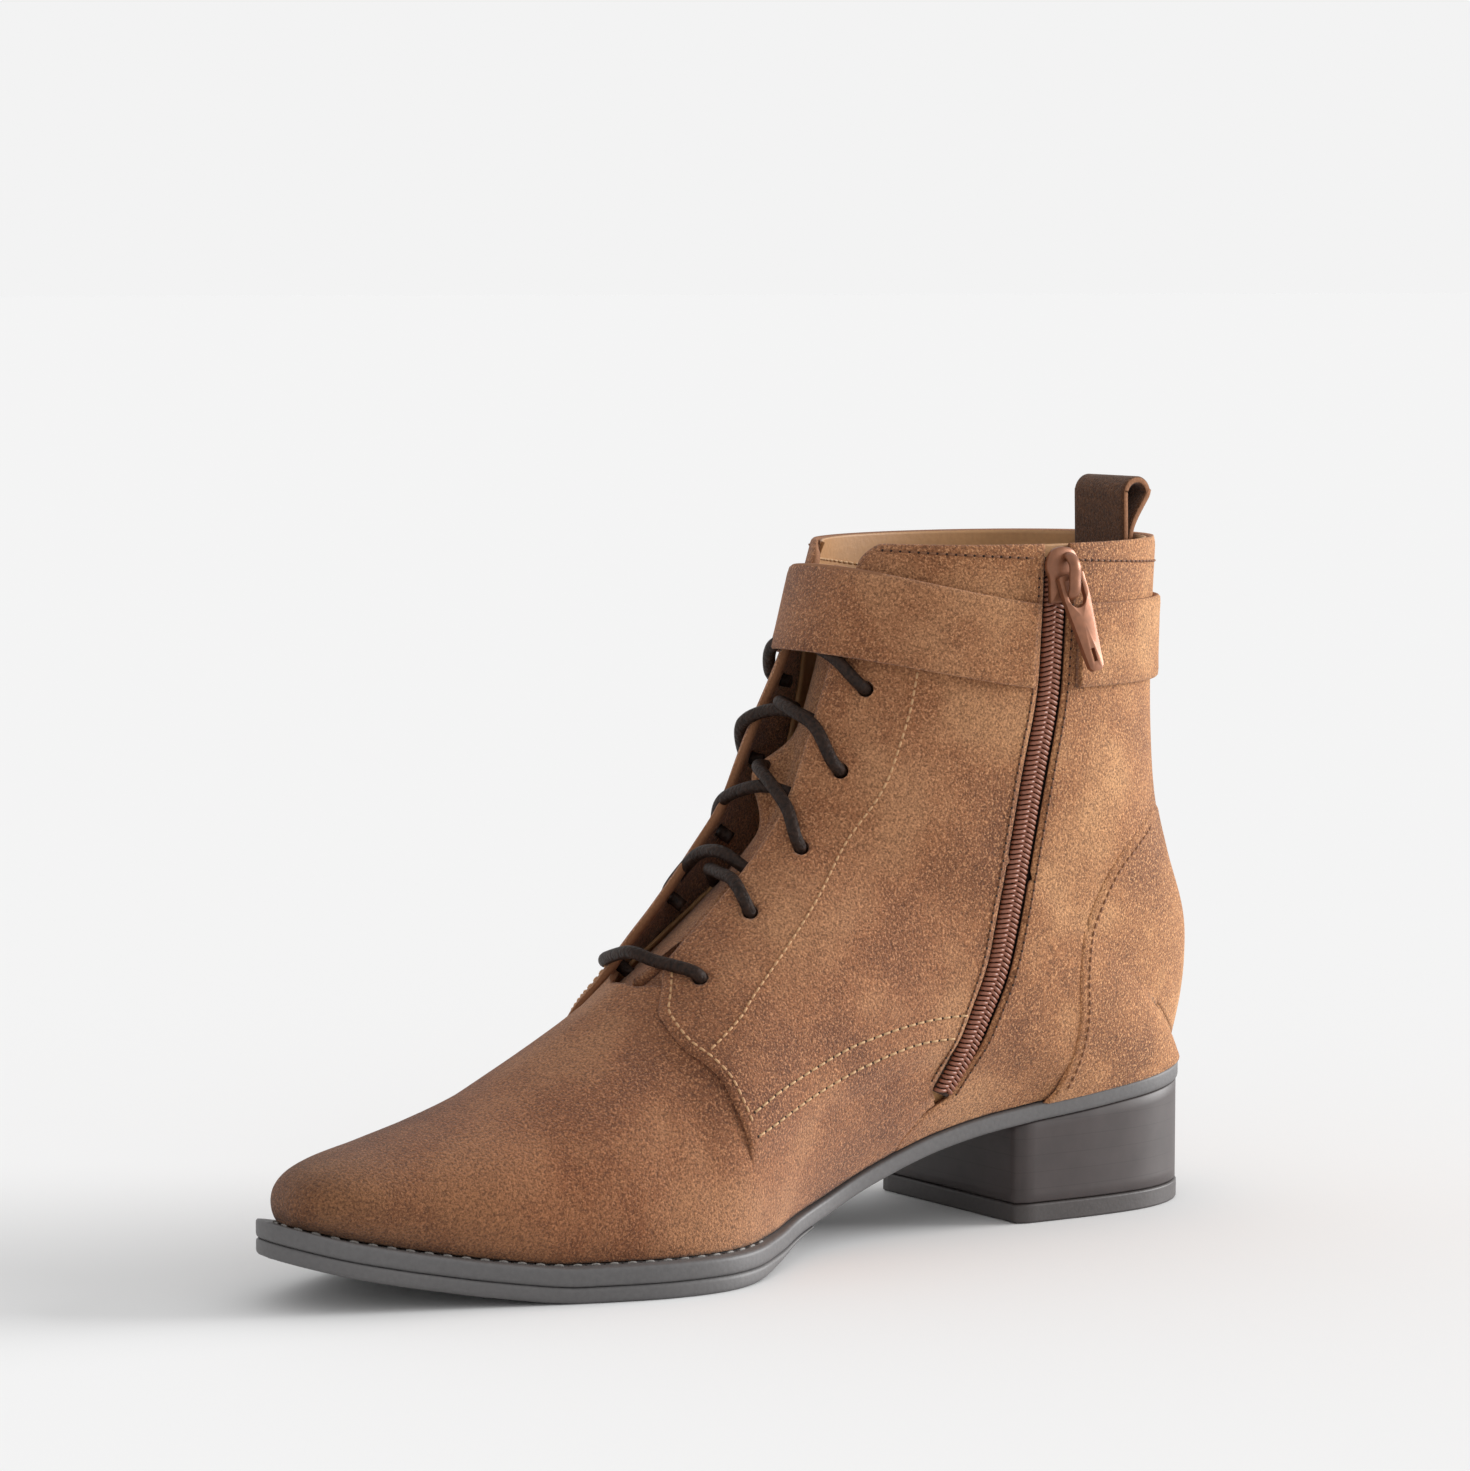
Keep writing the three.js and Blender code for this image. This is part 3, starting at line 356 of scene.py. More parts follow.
# Seams and edges in the side view, as shares of the length and of the upper's height
QUARTER_FRONT = table("at up", [
    (0.594, 0.178),
    (0.603, 0.252),
    (0.607, 0.287),
    (0.615, 0.312),
    (0.627, 0.341),
    (0.630, 0.379),
    (0.627, 0.416),
])
ZIP_LINE = table("at up", [
    (0.342, 0.085),
    (0.322, 0.155),
    (0.306, 0.225),
    (0.288, 0.305),
    (0.273, 0.415),
    (0.259, 0.530),
    (0.246, 0.650),
    (0.234, 0.770),
    (0.230, 0.880),
    (0.227, 1.020),
])
COUNTER_EDGE = table("at up", [
    (0.206, 0.020),
    (0.199, 0.080),
    (0.196, 0.150),
    (0.198, 0.240),
    (0.188, 0.335),
    (0.150, 0.440),
    (0.090, 0.505),
])
EYESTAY_STITCH = table("at up", [
    (0.607, 0.335),
    (0.570, 0.385),
    (0.552, 0.416),
    (0.471, 0.538),
    (0.430, 0.610),
    (0.394, 0.679),
    (0.369, 0.778),
    (0.358, 0.852),
    (0.342, 1.020),
])
HIGH_STITCH = table("at up", [
    (0.585, 0.230),
    (0.539, 0.261),
    (0.472, 0.280),
    (0.428, 0.271),
    (0.378, 0.252),
    (0.325, 0.225),
])
LOW_STITCH = table("at up", [
    (0.585, 0.190),
    (0.520, 0.223),
    (0.465, 0.234),
    (0.427, 0.228),
    (0.382, 0.215),
    (0.338, 0.191),
])
LACE_HOLES = table("at up", [
    (0.587, 0.448),
    (0.526, 0.545),
    (0.467, 0.628),
    (0.424, 0.735),
    (0.396, 0.861),
    (0.371, 0.985),
])

# Places of the corners where the panels meet the sole and the back seam
FRONT_AT_SOLE = 8.0
WAIST_SEAM_AT_SOLE = 10.9
COUNTER_AT_SOLE = 12.42
COUNTER_AT_BACK = 17.69
THROAT_LOW = 8.45
THROAT_HALF = (9.8, 8.2)
ZIP_HALF = 3.5
COLLAR_CORNER = 4.0


def front_border(side):
    """The quarter's front edge: from the sole up the vamp, round the corner and up the facing."""
    places = np.linspace(THROAT_LOW, COLLAR, 60)
    half = np.interp(places, [THROAT_LOW, COLLAR], THROAT_HALF)
    half = half + COLLAR_CORNER * np.clip((places - COLLAR + 0.55) / 0.55, 0, 1) ** 2.5
    return np.vstack([
        [(FRONT_AT_SOLE, side * 1.0)],
        side_line(QUARTER_FRONT, side, count=30)[:-3],
        throat_line(side, places, half),
    ])


def zip_border(aside):
    """One edge of the zip's slot, with the waist seam below it."""
    line = side_line(ZIP_LINE, 1, aside)
    top = line[-1] + (line[-1] - line[-2]) * (COLLAR - line[-1, 0]) / max(line[-1, 0] - line[-2, 0], 1e-6)
    line = line[line[:, 0] < COLLAR - 0.02]
    waist = np.array([(WAIST_SEAM_AT_SOLE, 1.0), (11.0, 0.965), (11.2, 0.935)])
    return np.vstack([waist, line, [(COLLAR, top[1])]])


def rear_line(side, aside=0.0):
    """The counter's edge, from the sole to the back seam, moved aside towards the heel in mm."""
    edge = side_line(COUNTER_EDGE, side, aside, count=40)
    edge = edge[np.abs(edge[:, 1]) < 0.985]
    foot = (COUNTER_AT_SOLE + aside * 0.03, side * 1.0)
    head = (COUNTER_AT_BACK - aside * 0.03, side * 1.0)
    return np.vstack([[foot], edge, [head]])


# Where the boot stands in the frame: the sole's outline is laid on the frame's midsole.
RIM = ring_point(np.linspace(0, len(RING), 2000))
SOLE_LOW, SOLE_HIGH = (np.array(corner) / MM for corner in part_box("midsole"))
SHIFT = np.array([
    (SOLE_LOW[0] + SOLE_HIGH[0] - RIM[:, 0].min() - RIM[:, 0].max()) / 2,
    SOLE_LOW[1] - RIM[:, 1].min(),
    0,
])


def to_frame(points):
    """Points of the boot, in the frame's metres."""
    return (np.asarray(points) + SHIFT) * MM


def hex_colour(code):
    """A colour written as sRGB hex, in the linear values that shaders take."""
    shares = [int(code[i:i + 2], 16) / 255 for i in (1, 3, 5)]
    return tuple(s / 12.92 if s <= 0.04045 else ((s + 0.055) / 1.055) ** 2.4 for s in shares)


# Sizes and colours that a user would change
class BootSizes(bpy.types.PropertyGroup):
    """Sizes of the dressed boot"""

    lace_diameter: bpy.props.FloatProperty(
        name="Lace Diameter", description="Thickness of the round lace", default=0.0031, min=0.001,
        unit="LENGTH")
    leather: bpy.props.FloatProperty(
        name="Leather", description="Thickness of the suede with its backing", default=0.0022, min=0.0005,
        unit="LENGTH")
    stitch_pitch: bpy.props.FloatProperty(
        name="Stitch Pitch", description="Length of one stitch with its gap", default=0.0026, min=0.001,
        unit="LENGTH")
    thread: bpy.props.FloatProperty(
        name="Thread", description="Thickness of the sewing thread", default=0.0006, min=0.0001,
        unit="LENGTH")
    nap: bpy.props.FloatProperty(
        name="Nap", description="Size of the suede's fibre speckle", default=0.0006, min=0.0001,
        unit="LENGTH")


def colour_property(name, description, code):
    return bpy.props.FloatVectorProperty(
        name=name, description=description, default=hex_colour(code), min=0, max=1, size=3, subtype="COLOR")


class BootColours(bpy.types.PropertyGroup):
    """Colours of the dressed boot"""

    suede: colour_property("Suede", "Brushed suede, at its middle tone", "#B8845C")
    suede_dark: colour_property("Suede Shade", "Suede brushed the other way", "#976746")
    suede_light: colour_property("Suede Light", "Worn and raised nap", "#D3A47A")
    lining: colour_property("Lining", "Smooth tan leather inside", "#B4875A")
    rubber: colour_property("Rubber", "Moulded sole rubber", "#5E5C5C")
    heel: colour_property("Heel", "Stacked heel", "#403837")
    lace: colour_property("Lace", "Waxed cord", "#291B14")
    loop: colour_property("Loop", "Dark suede of the pull loop", "#5A3A22")
    lacquer: colour_property("Lacquer", "Copper-brown lacquered metal", "#8A5A40")
    coil: colour_property("Coil", "Pinkish-brown nylon coil", "#8C5742")
    tape: colour_property("Tape", "Dark brown zip tape", "#3C2A20")
    thread_light: colour_property("Light Thread", "Tan thread of the double seam", "#C09A70")
    thread_brown: colour_property("Brown Thread", "Thread of the other rows", "#7E5234")
    floor: colour_property("Floor", "Pale studio floor", "#EDEDED")


def sizes():
    return bpy.context.scene.boot_sizes


def colours():
    return bpy.context.scene.boot_colours


# Materials
def add_node(tree, kind, inputs=None, **settings):
    """A node with its settings and inputs; an input is a value, or an output to link from."""
    node = tree.nodes.new(kind)
    for name, value in settings.items():
        setattr(node, name, value)
    for name, value in (inputs or {}).items():
        if isinstance(value, bpy.types.NodeSocket):
            tree.links.new(value, node.inputs[name])
        else:
            node.inputs[name].default_value = value
    return node


def opaque(colour):
    """A colour with full alpha."""
    return (*colour, 1.0)


def new_material(name):
    """An empty material with its shader and its object coordinates."""
    material = bpy.data.materials.new(name)
    material.use_nodes = True
    tree = material.node_tree
    shader = tree.nodes["Principled BSDF"]
    where = add_node(tree, "ShaderNodeTexCoord").outputs["Object"]
    return material, tree, shader, where


def noise(tree, where, size, detail=2.0, rough=0.5):
    """Noise whose features are about size metres."""
    return add_node(tree, "ShaderNodeTexNoise", {
        "Vector": where, "Scale": 1 / size, "Detail": detail, "Roughness": rough}).outputs["Fac"]


def ramp(tree, fac, stops):
    """A colour ramp through (position, colour) stops."""
    node = add_node(tree, "ShaderNodeValToRGB", {"Fac": fac})
    elements = node.color_ramp.elements
    while len(elements) < len(stops):
        elements.new(0.5)
    for element, (position, colour) in zip(elements, stops):
        element.position = position
        element.color = opaque(colour)
    return node.outputs["Color"]


def mix(tree, kind, fac, a, b):
    """Two colours blended in the given way."""
    node = add_node(tree, "ShaderNodeMix", data_type="RGBA", blend_type=kind)
    for socket, value in ((node.inputs[0], fac), (node.inputs[6], a), (node.inputs[7], b)):
        if isinstance(value, bpy.types.NodeSocket):
            tree.links.new(value, socket)
        else:
            socket.default_value = value
    return node.outputs[2]


def bump(tree, height, distance, strength=1.0):
    """A normal raised by a height, distance metres at most."""
    return add_node(tree, "ShaderNodeBump", {
        "Height": height, "Distance": distance, "Strength": strength}).outputs["Normal"]


# The suede's tone from the toe to the heel: darker and redder in front and lighter behind. This is partly the
# suede's own tone, partly painted shade on the toe and painted light on the heel, where the sun falls from
# behind
LENGTH_TONES_AND_PAINTED_LIGHT = [
    (0.00, (0.37, 0.285, 0.225)),
    (0.22, (0.59, 0.430, 0.340)),
    (0.45, (0.73, 0.600, 0.520)),
    (0.65, (0.77, 0.640, 0.560)),
    (0.82, (0.94, 0.820, 0.690)),
    (1.00, (1.06, 0.960, 0.790)),
]


def suede_material(name, dark, middle, light):
    """Suede: clouds where the nap lies another way, and a speckle drawn coarser than real fibres."""
    material, tree, shader, where = new_material(name)
    clouds = noise(tree, where, 0.032, 3.0, 0.55)
    base = ramp(tree, clouds, [(0.36, dark), (0.5, middle), (0.64, light)])
    patches = noise(tree, where, 0.006, 3.0, 0.65)
    patch_tone = ramp(tree, patches, [(0.34, (0.80, 0.78, 0.76)), (0.66, (1.0, 1.0, 1.0))])
    fibres = noise(tree, where, sizes().nap, 3.0, 0.7)
    fibre_tone = ramp(tree, fibres, [(0.38, (0.36, 0.33, 0.30)), (0.60, (1.0, 1.0, 1.0))])
    tips = noise(tree, where, sizes().nap * 0.9, 2.0, 0.6)
    tip_share = ramp(tree, tips, [(0.53, (0.0, 0.0, 0.0)), (0.64, (0.6, 0.6, 0.6))])
    toned = mix(tree, "MULTIPLY", 0.4, base, patch_tone)
    toned = mix(tree, "MULTIPLY", 0.9, toned, fibre_tone)
    toned = mix(tree, "MIX", tip_share, toned, opaque(tuple(min(1, c * 1.35 + 0.02) for c in light)))
    # Painted shade and light along the length: the ramp darkens the toe and brightens the heel over the
    # suede's own tone
    length = add_node(tree, "ShaderNodeSeparateXYZ", {"Vector": where}).outputs["Y"]
    forward = add_node(tree, "ShaderNodeMapRange", {
        "Value": length, "From Min": -0.128, "From Max": 0.115}).outputs["Result"]
    toned = mix(tree, "MULTIPLY", 1.0, toned, ramp(tree, forward, LENGTH_TONES_AND_PAINTED_LIGHT))
    tree.links.new(toned, shader.inputs["Base Color"])
    normal = bump(tree, fibres, 0.0009, 0.7)
    tree.links.new(normal, shader.inputs["Normal"])
    shader.inputs["Roughness"].default_value = 0.95
    shader.inputs["Specular IOR Level"].default_value = 0.25
    shader.inputs["Sheen Weight"].default_value = 0.15
    shader.inputs["Sheen Roughness"].default_value = 0.6
    return material


def plain_material(name, colour, roughness, speck, depth, spread=0.12, coat=0.0, metallic=0.0, shine=0.5):
    """A plain finish with a faint speckle, whose size, depth and spread of tone are given."""
    material, tree, shader, where = new_material(name)
    grain = noise(tree, where, speck, 3.0)
    low = tuple(c * (1 - spread) for c in colour)
    high = tuple(min(1, c * (1 + spread)) for c in colour)
    tree.links.new(ramp(tree, grain, [(0.3, low), (0.7, high)]), shader.inputs["Base Color"])
    tree.links.new(bump(tree, grain, depth), shader.inputs["Normal"])
    shader.inputs["Specular IOR Level"].default_value = shine
    shader.inputs["Roughness"].default_value = roughness
    shader.inputs["Coat Weight"].default_value = coat
    shader.inputs["Metallic"].default_value = metallic
    return material


def heel_material(name, colour):
    """Stacked heel: nearly black satin layers a few millimetres thick, with a fine line between them."""
    material, tree, shader, where = new_material(name)
    height = add_node(tree, "ShaderNodeSeparateXYZ", {"Vector": where}).outputs["Z"]
    layer = add_node(tree, "ShaderNodeMath", {0: height, 1: 0.0041}, operation="DIVIDE").outputs[0]
    part = add_node(tree, "ShaderNodeMath", {0: layer}, operation="FRACT").outputs[0]
    line = ramp(tree, part, [(0.0, (0.72, 0.70, 0.70)), (0.07, (1.0, 1.0, 1.0)), (0.93, (1.0, 1.0, 1.0))])
    grain = noise(tree, where, 0.006, 4.0)
    tone = ramp(tree, grain, [(0.3, tuple(c * 0.88 for c in colour)), (0.7, tuple(c * 1.12 for c in colour))])
    tree.links.new(mix(tree, "MULTIPLY", 1.0, tone, line), shader.inputs["Base Color"])
    shader.inputs["Roughness"].default_value = 0.5
    return material


# Plain finishes: colour, roughness, speck size and depth, spread of tone, then coat, metal and shine
PLAIN_FINISHES = {
    # Matt tan fibres where the suede is cut
    "raw_leather_edge": lambda: (hex_colour("#8E6142"), 0.9, 0.0006, 0.0002),
    # Even tan lining with a faint satin light along the collar
    "smooth_lining_leather": lambda: (colours().lining, 0.55, 0.0012, 0.00008, 0.06),
    # Matt grey sole rubber with a soft light on its edges
    "moulded_rubber": lambda: (colours().rubber, 0.55, 0.0011, 0.00006, 0.08),
    # Darker and harder rubber under the heel
    "lift_rubber": lambda: (hex_colour("#474241"), 0.5, 0.0011, 0.00006, 0.08),
    # Near-black brown cord with an uneven wax
    "waxed_cotton_cord": lambda: (colours().lace, 0.55, 0.0010, 0.0006, 0.6, 0.0, 0.0, 0.2),
    # Pinkish-brown coil with a small light on each loop
    "nylon_coil": lambda: (colours().coil, 0.4, 0.0006, 0.00003, 0.1),
    # Dark matt ground that sets the coil apart from the suede
    "zip_tape": lambda: (colours().tape, 0.85, 0.0005, 0.0002, 0.2),
    # Copper-brown lacquer over metal, satin rather than bright
    "lacquered_metal": lambda: (colours().lacquer, 0.42, 0.0015, 0.00002, 0.12, 0.15, 0.5),
    # The end stop's small bright glint
    "bright_steel": lambda: (hex_colour("#C9C4BE"), 0.3, 0.001, 0.00002, 0.12, 0.0, 1.0),
    # Pale thread of the double seam, which reads as light dashes
    "light_thread": lambda: (colours().thread_light, 0.7, 0.0003, 0.0001, 0.2),
    # Thread near the suede's own brown, which sinks into it
    "brown_thread": lambda: (colours().thread_brown, 0.7, 0.0003, 0.0001, 0.2),
    # Tan thread of the facing's fine rows
    "tan_thread": lambda: (hex_colour("#BF946A"), 0.7, 0.0003, 0.0001, 0.2),
    # Grey thread on the welt
    "grey_thread": lambda: (hex_colour("#85817D"), 0.7, 0.0003, 0.0001, 0.2),
    # The dark dot where a needle went in: painted shade of the hole
    "painted_hole_shade": lambda: (hex_colour("#2A1A12"), 0.95, 0.0005, 0.0001),
}


def new_finish(name):
    """Makes the finish of that name."""
    if name == "brushed_suede":
        return suede_material(name, colours().suede_dark, colours().suede, colours().suede_light)
    if name == "loop_suede":
        return suede_material(name, *[tuple(c * f for c in colours().loop) for f in (0.8, 1.0, 1.2)])
    if name == "stacked_heel":
        return heel_material(name, colours().heel)
    return plain_material(name, *PLAIN_FINISHES[name]())


def material(name):
    """The named material, made when it is first asked for."""
    return bpy.data.materials.get(name) or new_finish(name)


# Modelling tools
def add_grid(bm, points):
    """A grid of faces through rows and columns of points in mm."""
    rows, columns = points.shape[:2]
    made = bmesh.ops.create_grid(bm, x_segments=columns - 1, y_segments=rows - 1, size=0.5)
    placed = to_frame(points)
    for vert in made["verts"]:
        row = round((vert.co.y + 0.5) * (rows - 1))
        vert.co = placed[row, round((vert.co.x + 0.5) * (columns - 1))]


def finish_mesh(bm, name, finish, body="boot", closed=True):
    """Joins what meets, turns a closed form's faces outward, and makes the object ride on its body."""
    bmesh.ops.remove_doubles(bm, verts=bm.verts, dist=WELD)
    bmesh.ops.dissolve_degenerate(bm, dist=1e-7, edges=bm.edges)
    if closed:
        bmesh.ops.recalc_face_normals(bm, faces=bm.faces)
    mesh = bpy.data.meshes.new(name)
    bm.to_mesh(mesh)
    bm.free()
    mesh.shade_smooth()
    obj = bpy.data.objects.new(name, mesh)
    bpy.context.scene.collection.objects.link(obj)
    mesh.materials.append(material(finish))
    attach(obj, body)
    return obj


def paint_edges(obj, axis, finish):
    """Gives the faces that look along an axis their own finish."""
    obj.data.materials.append(material(finish))
    for face in obj.data.polygons:
        if abs(face.normal[axis]) > 0.75:
            face.material_index = 1


def apply_modifiers(obj):
    """Keeps the mesh as its modifiers leave it."""
    depsgraph = bpy.context.evaluated_depsgraph_get()
    mesh = bpy.data.meshes.new_from_object(obj.evaluated_get(depsgraph))
    obj.modifiers.clear()
    old = obj.data
    obj.data = mesh
    bpy.data.meshes.remove(old)


def cut(obj, bm):
    """Cuts the shapes in a bmesh out of an object."""
    bmesh.ops.recalc_face_normals(bm, faces=bm.faces)
    mesh = bpy.data.meshes.new("cutter")
    bm.to_mesh(mesh)
    bm.free()
    cutter = bpy.data.objects.new("cutter", mesh)
    bpy.context.scene.collection.objects.link(cutter)
    modifier = obj.modifiers.new("holes", "BOOLEAN")
    modifier.object = cutter
    modifier.operation = "DIFFERENCE"
    modifier.solver = "EXACT"
    apply_modifiers(obj)
    bpy.data.objects.remove(cutter)
    bpy.data.meshes.remove(mesh)


def thicken(obj, thickness, rim=None):
    """Gives a sheet its thickness inwards, and its cut edges a finish of their own."""
    modifier = obj.modifiers.new("thickness", "SOLIDIFY")
    modifier.thickness = thickness
    modifier.offset = -1
    if rim:
        obj.data.materials.append(material(rim))
        modifier.material_offset_rim = 1
    apply_modifiers(obj)


def frames_along(path):
    """Two directions square to a path at each point, which turn with it and don't twist."""
    along = np.gradient(path, axis=0)
    along /= np.maximum(np.linalg.norm(along, axis=1), 1e-9)[:, None]
    first = np.cross(along[0], [0.31, 0.22, 0.93])
    first /= np.linalg.norm(first)
    firsts = []
    for way in along:
        first = first - way * first.dot(way)
        first /= np.linalg.norm(first)
        firsts.append(first)
    firsts = np.array(firsts)
    return firsts, np.cross(along, firsts)


def smooth_path(points, step):
    """A smooth line through points, with a point about every step mm."""
    points = np.asarray(points, float)
    lengths = np.linalg.norm(np.diff(points, axis=0), axis=1)
    t = np.concatenate([np.linspace(i, i + 1, max(2, math.ceil(length / step)), endpoint=False)
                        for i, length in enumerate(lengths)] + [[len(points) - 1]])
    rows = {"xyz"[k]: points[:, k] for k in range(3)}
    return np.column_stack([column(rows, axis, t) for axis in "xyz"])


def add_strip(bm, grid):
    """Rings of points along a band, closed at both ends."""
    ends = [np.repeat(grid[k].mean(axis=0)[None], grid.shape[1], axis=0)[None] for k in (0, -1)]
    add_grid(bm, np.concatenate([ends[0], grid, ends[1]]))


def add_tube(bm, path, radius, sides=10, flat=1.0, across=None):
    """A cord along a path, closed at its ends; flat squeezes its section, and across turns it."""
    path = np.asarray(path, float)
    a, b = frames_along(path)
    if across is not None:
        a = np.broadcast_to(across, path.shape)
        b = np.cross(np.gradient(path, axis=0), a)
        b /= np.linalg.norm(b, axis=1)[:, None]
    radii = np.broadcast_to(radius, len(path))
    turn = np.linspace(0, 2 * np.pi, sides + 1)
    turn[-1] = 0
    rings = path[:, None] + radii[:, None, None] * (
        np.cos(turn)[None, :, None] * a[:, None] + flat * np.sin(turn)[None, :, None] * b[:, None])
    ends = [np.repeat(path[k][None], sides + 1, axis=0)[None] for k in (0, -1)]
    add_grid(bm, np.concatenate([ends[0], rings, ends[1]]))


def add_pillow(bm, outline, rows, place):
    """A closed form round a flat outline: rows of an inset share and a height, put in place."""
    middle = outline.mean(axis=0)
    loop = np.vstack([outline, outline[:1]])
    grid = []
    for inset, height in rows:
        flat = loop + (middle - loop) * inset
        grid.append(place(np.column_stack([flat, np.full(len(flat), height)])))
    add_grid(bm, np.array(grid))


# The upper's panels
SEAM_HIGH = 0.235
SEAM_AT = 0.465
SEAM_FALL = 2.2
SEAM_FADE = 0.09
QUARTER = 1.2
VAMP_WALL = 1.8
VAMP_SHEET = 1.6
LINING_SHEET = 0.7
COUNTER_OUT = 1.55
COUNTER_SHEET = 1.2
COUNTER_ROUNDING = (0.55, 1.2)


def quarter_out(points):
    """How far the quarter stands proud: its full thickness above the double seam, and none below."""
    at, up = side_view(points)
    line = SEAM_HIGH - SEAM_FALL * (at - SEAM_AT) ** 2
    return QUARTER * smooth_step((up - np.maximum(line - SEAM_FADE, 0)) / SEAM_FADE)


def edge_shares(length, count):
    """Shares of a width that lie close together at both edges, so that the edges can be rounded."""
    near = np.array([0, 0.3, 0.8, 1.6]) / length
    inner = np.linspace(near[-1], 1 - near[-1], count)[1:-1]
    return np.concatenate([near, inner, 1 - near[::-1]])


def rounded(distance, depth=0.5, reach=1.5):
    """How far a cut edge drops at a distance from it."""
    return depth * (1 - smooth_step(np.clip(distance / reach, 0, 1)) ** 0.5)


def ruled(a, b, spacing):
    """Places and turns between two borders, spaced by their real distances over the surface."""
    fine = np.linspace(0, 1, 60)
    line = a[:, None] + (b - a)[:, None] * fine[None, :, None]
    points = skin_point(line[..., 0].ravel(), line[..., 1].ravel()).reshape(len(a), len(fine), 3)
    steps = np.linalg.norm(np.diff(points, axis=1), axis=2)
    length = np.concatenate([np.zeros((len(a), 1)), np.cumsum(steps, axis=1)], axis=1)
    width = np.maximum(length[:, -1], 1e-3)
    grid, distance = [], []
    for i in range(len(a)):
        u = spacing(width[i])
        t = np.interp(u * width[i], length[i], fine)
        grid.append(a[i] + (b[i] - a[i]) * t[:, None])
        distance.append(u * width[i])
    return np.array(grid), np.array(distance), width


def panel(name, front, back, out, round_edges=(True, True, True), columns=46, level=False):
    """A sheet of suede between two borders of places and turns, lifted in mm by what out gives.

    A level sheet has each row at one place. The three edges that can be rounded are front, back and top.
    """
    shares = np.concatenate([np.linspace(0, 0.985, 150), [0.990, 0.9945, 0.998, 1.0]])
    a, b = resample(front, shares), resample(back, shares)
    if level:
        b = np.column_stack([a[:, 0], np.interp(a[:, 0], back[:, 0], back[:, 1])])
    grid, along, width = ruled(a, b, lambda w: edge_shares(max(w, 12), columns))
    ends = skin_point(a[:, 0], a[:, 1])
    top = (1 - shares) * np.linalg.norm(np.diff(ends, axis=0), axis=1).sum()
    top = np.repeat(top[:, None], along.shape[1], axis=1)
    distance = np.stack([along, width[:, None] - along, top], axis=-1)
    place, turn = grid[..., 0].ravel(), grid[..., 1].ravel()
    points = skin_point(place, turn)
    normals = skin_normal(place, turn)
    lift = out(points)
    for k, wanted in enumerate(round_edges):
        if wanted:
            lift = lift - rounded(distance[..., k].ravel())
    points = points + normals * lift[:, None]
    bm = bmesh.new()
    add_grid(bm, points.reshape(grid.shape[:2] + (3,)))
    return finish_panel(bm, name, points, normals)


def finish_panel(bm, name, points, normals, finish="brushed_suede"):
    """Turns a panel's faces outward by the normals that its points had."""
    sample = to_frame(points)

    def outward(centre):
        return normals[np.abs(sample - np.array(centre)).sum(axis=1).argmin()]

    bm.normal_update()
    spots = list(bm.faces)[::max(1, len(bm.faces) // 80)]
    agree = sum(face.calc_area() * face.normal.dot(Vector(outward(face.calc_center_median())))
                for face in spots)
    if agree < 0:
        bmesh.ops.reverse_faces(bm, faces=bm.faces)
    return finish_mesh(bm, name, finish, closed=False)


# How far the vamp runs on under the other panels: in places at the waist seam, then as turns and places
WAIST_UNDER = 0.3
VAMP_UNDER_INNER = [(0.68, 11.6), (0.5, 10.4), (0.35, 9.2), (0.22, 8.2), (0.12, 7.75), (0.0, 7.65)]
VAMP_UNDER_OUTER = [
    (-0.12, 7.7), (-0.22, 8.1), (-0.35, 9.2), (-0.6, 11.2), (-0.8, 12.6), (-0.9, 12.8), (-1.0, 12.9),
]


def vamp_back(turn):
    """Where the vamp ends, for each turn: at the waist seam and the zip, then under the quarters."""
    zip_edge = zip_border(-ZIP_HALF)
    zip_edge = zip_edge[(zip_edge[:, 1] > 0.75) & (zip_edge[:, 0] < 13)][:, ::-1]
    zip_edge[:, 1] += WAIST_UNDER * smooth_step((zip_edge[:, 0] - 0.885) / 0.02)
    rows = np.vstack([zip_edge, VAMP_UNDER_INNER, VAMP_UNDER_OUTER])
    order = rows[:, 0].argsort(kind="stable")
    return np.interp(turn, rows[order, 0], rows[order, 1])


def rear_border(side):
    """The panels' back edge: along the sole's edge under the counter, and up the back seam."""
    return np.array([(COUNTER_AT_SOLE, side), (COLLAR, side)], float)


def quarter_cover(points):
    """The quarter dips under the vamp below the double seam."""
    out = quarter_out(points)
    return out - 0.35 * (1 - out / QUARTER)


# The outer facing stands up from the last beside the throat, pulled by the lace.
FACING_LIFT = 5.0
LIFT_HIGH, LIFT_SPAN = 0.70, 0.20
LIFT_REACH = 22
LIFT_FROM, LIFT_FADE = 0.33, 0.08


def outer_cover(points):
    """How far the outer quarter stands out, with its facing lifted."""
    at, up = side_view(points)
    high = (up - LIFT_HIGH) / LIFT_SPAN
    near = np.clip(1 - (points[:, 0] + THROAT_HALF[0]) / -LIFT_REACH, 0, 1)
    front = smooth_step((at - LIFT_FROM) / LIFT_FADE)
    return quarter_cover(points) + FACING_LIFT * np.exp(-high ** 2) * smooth_step(near) * front


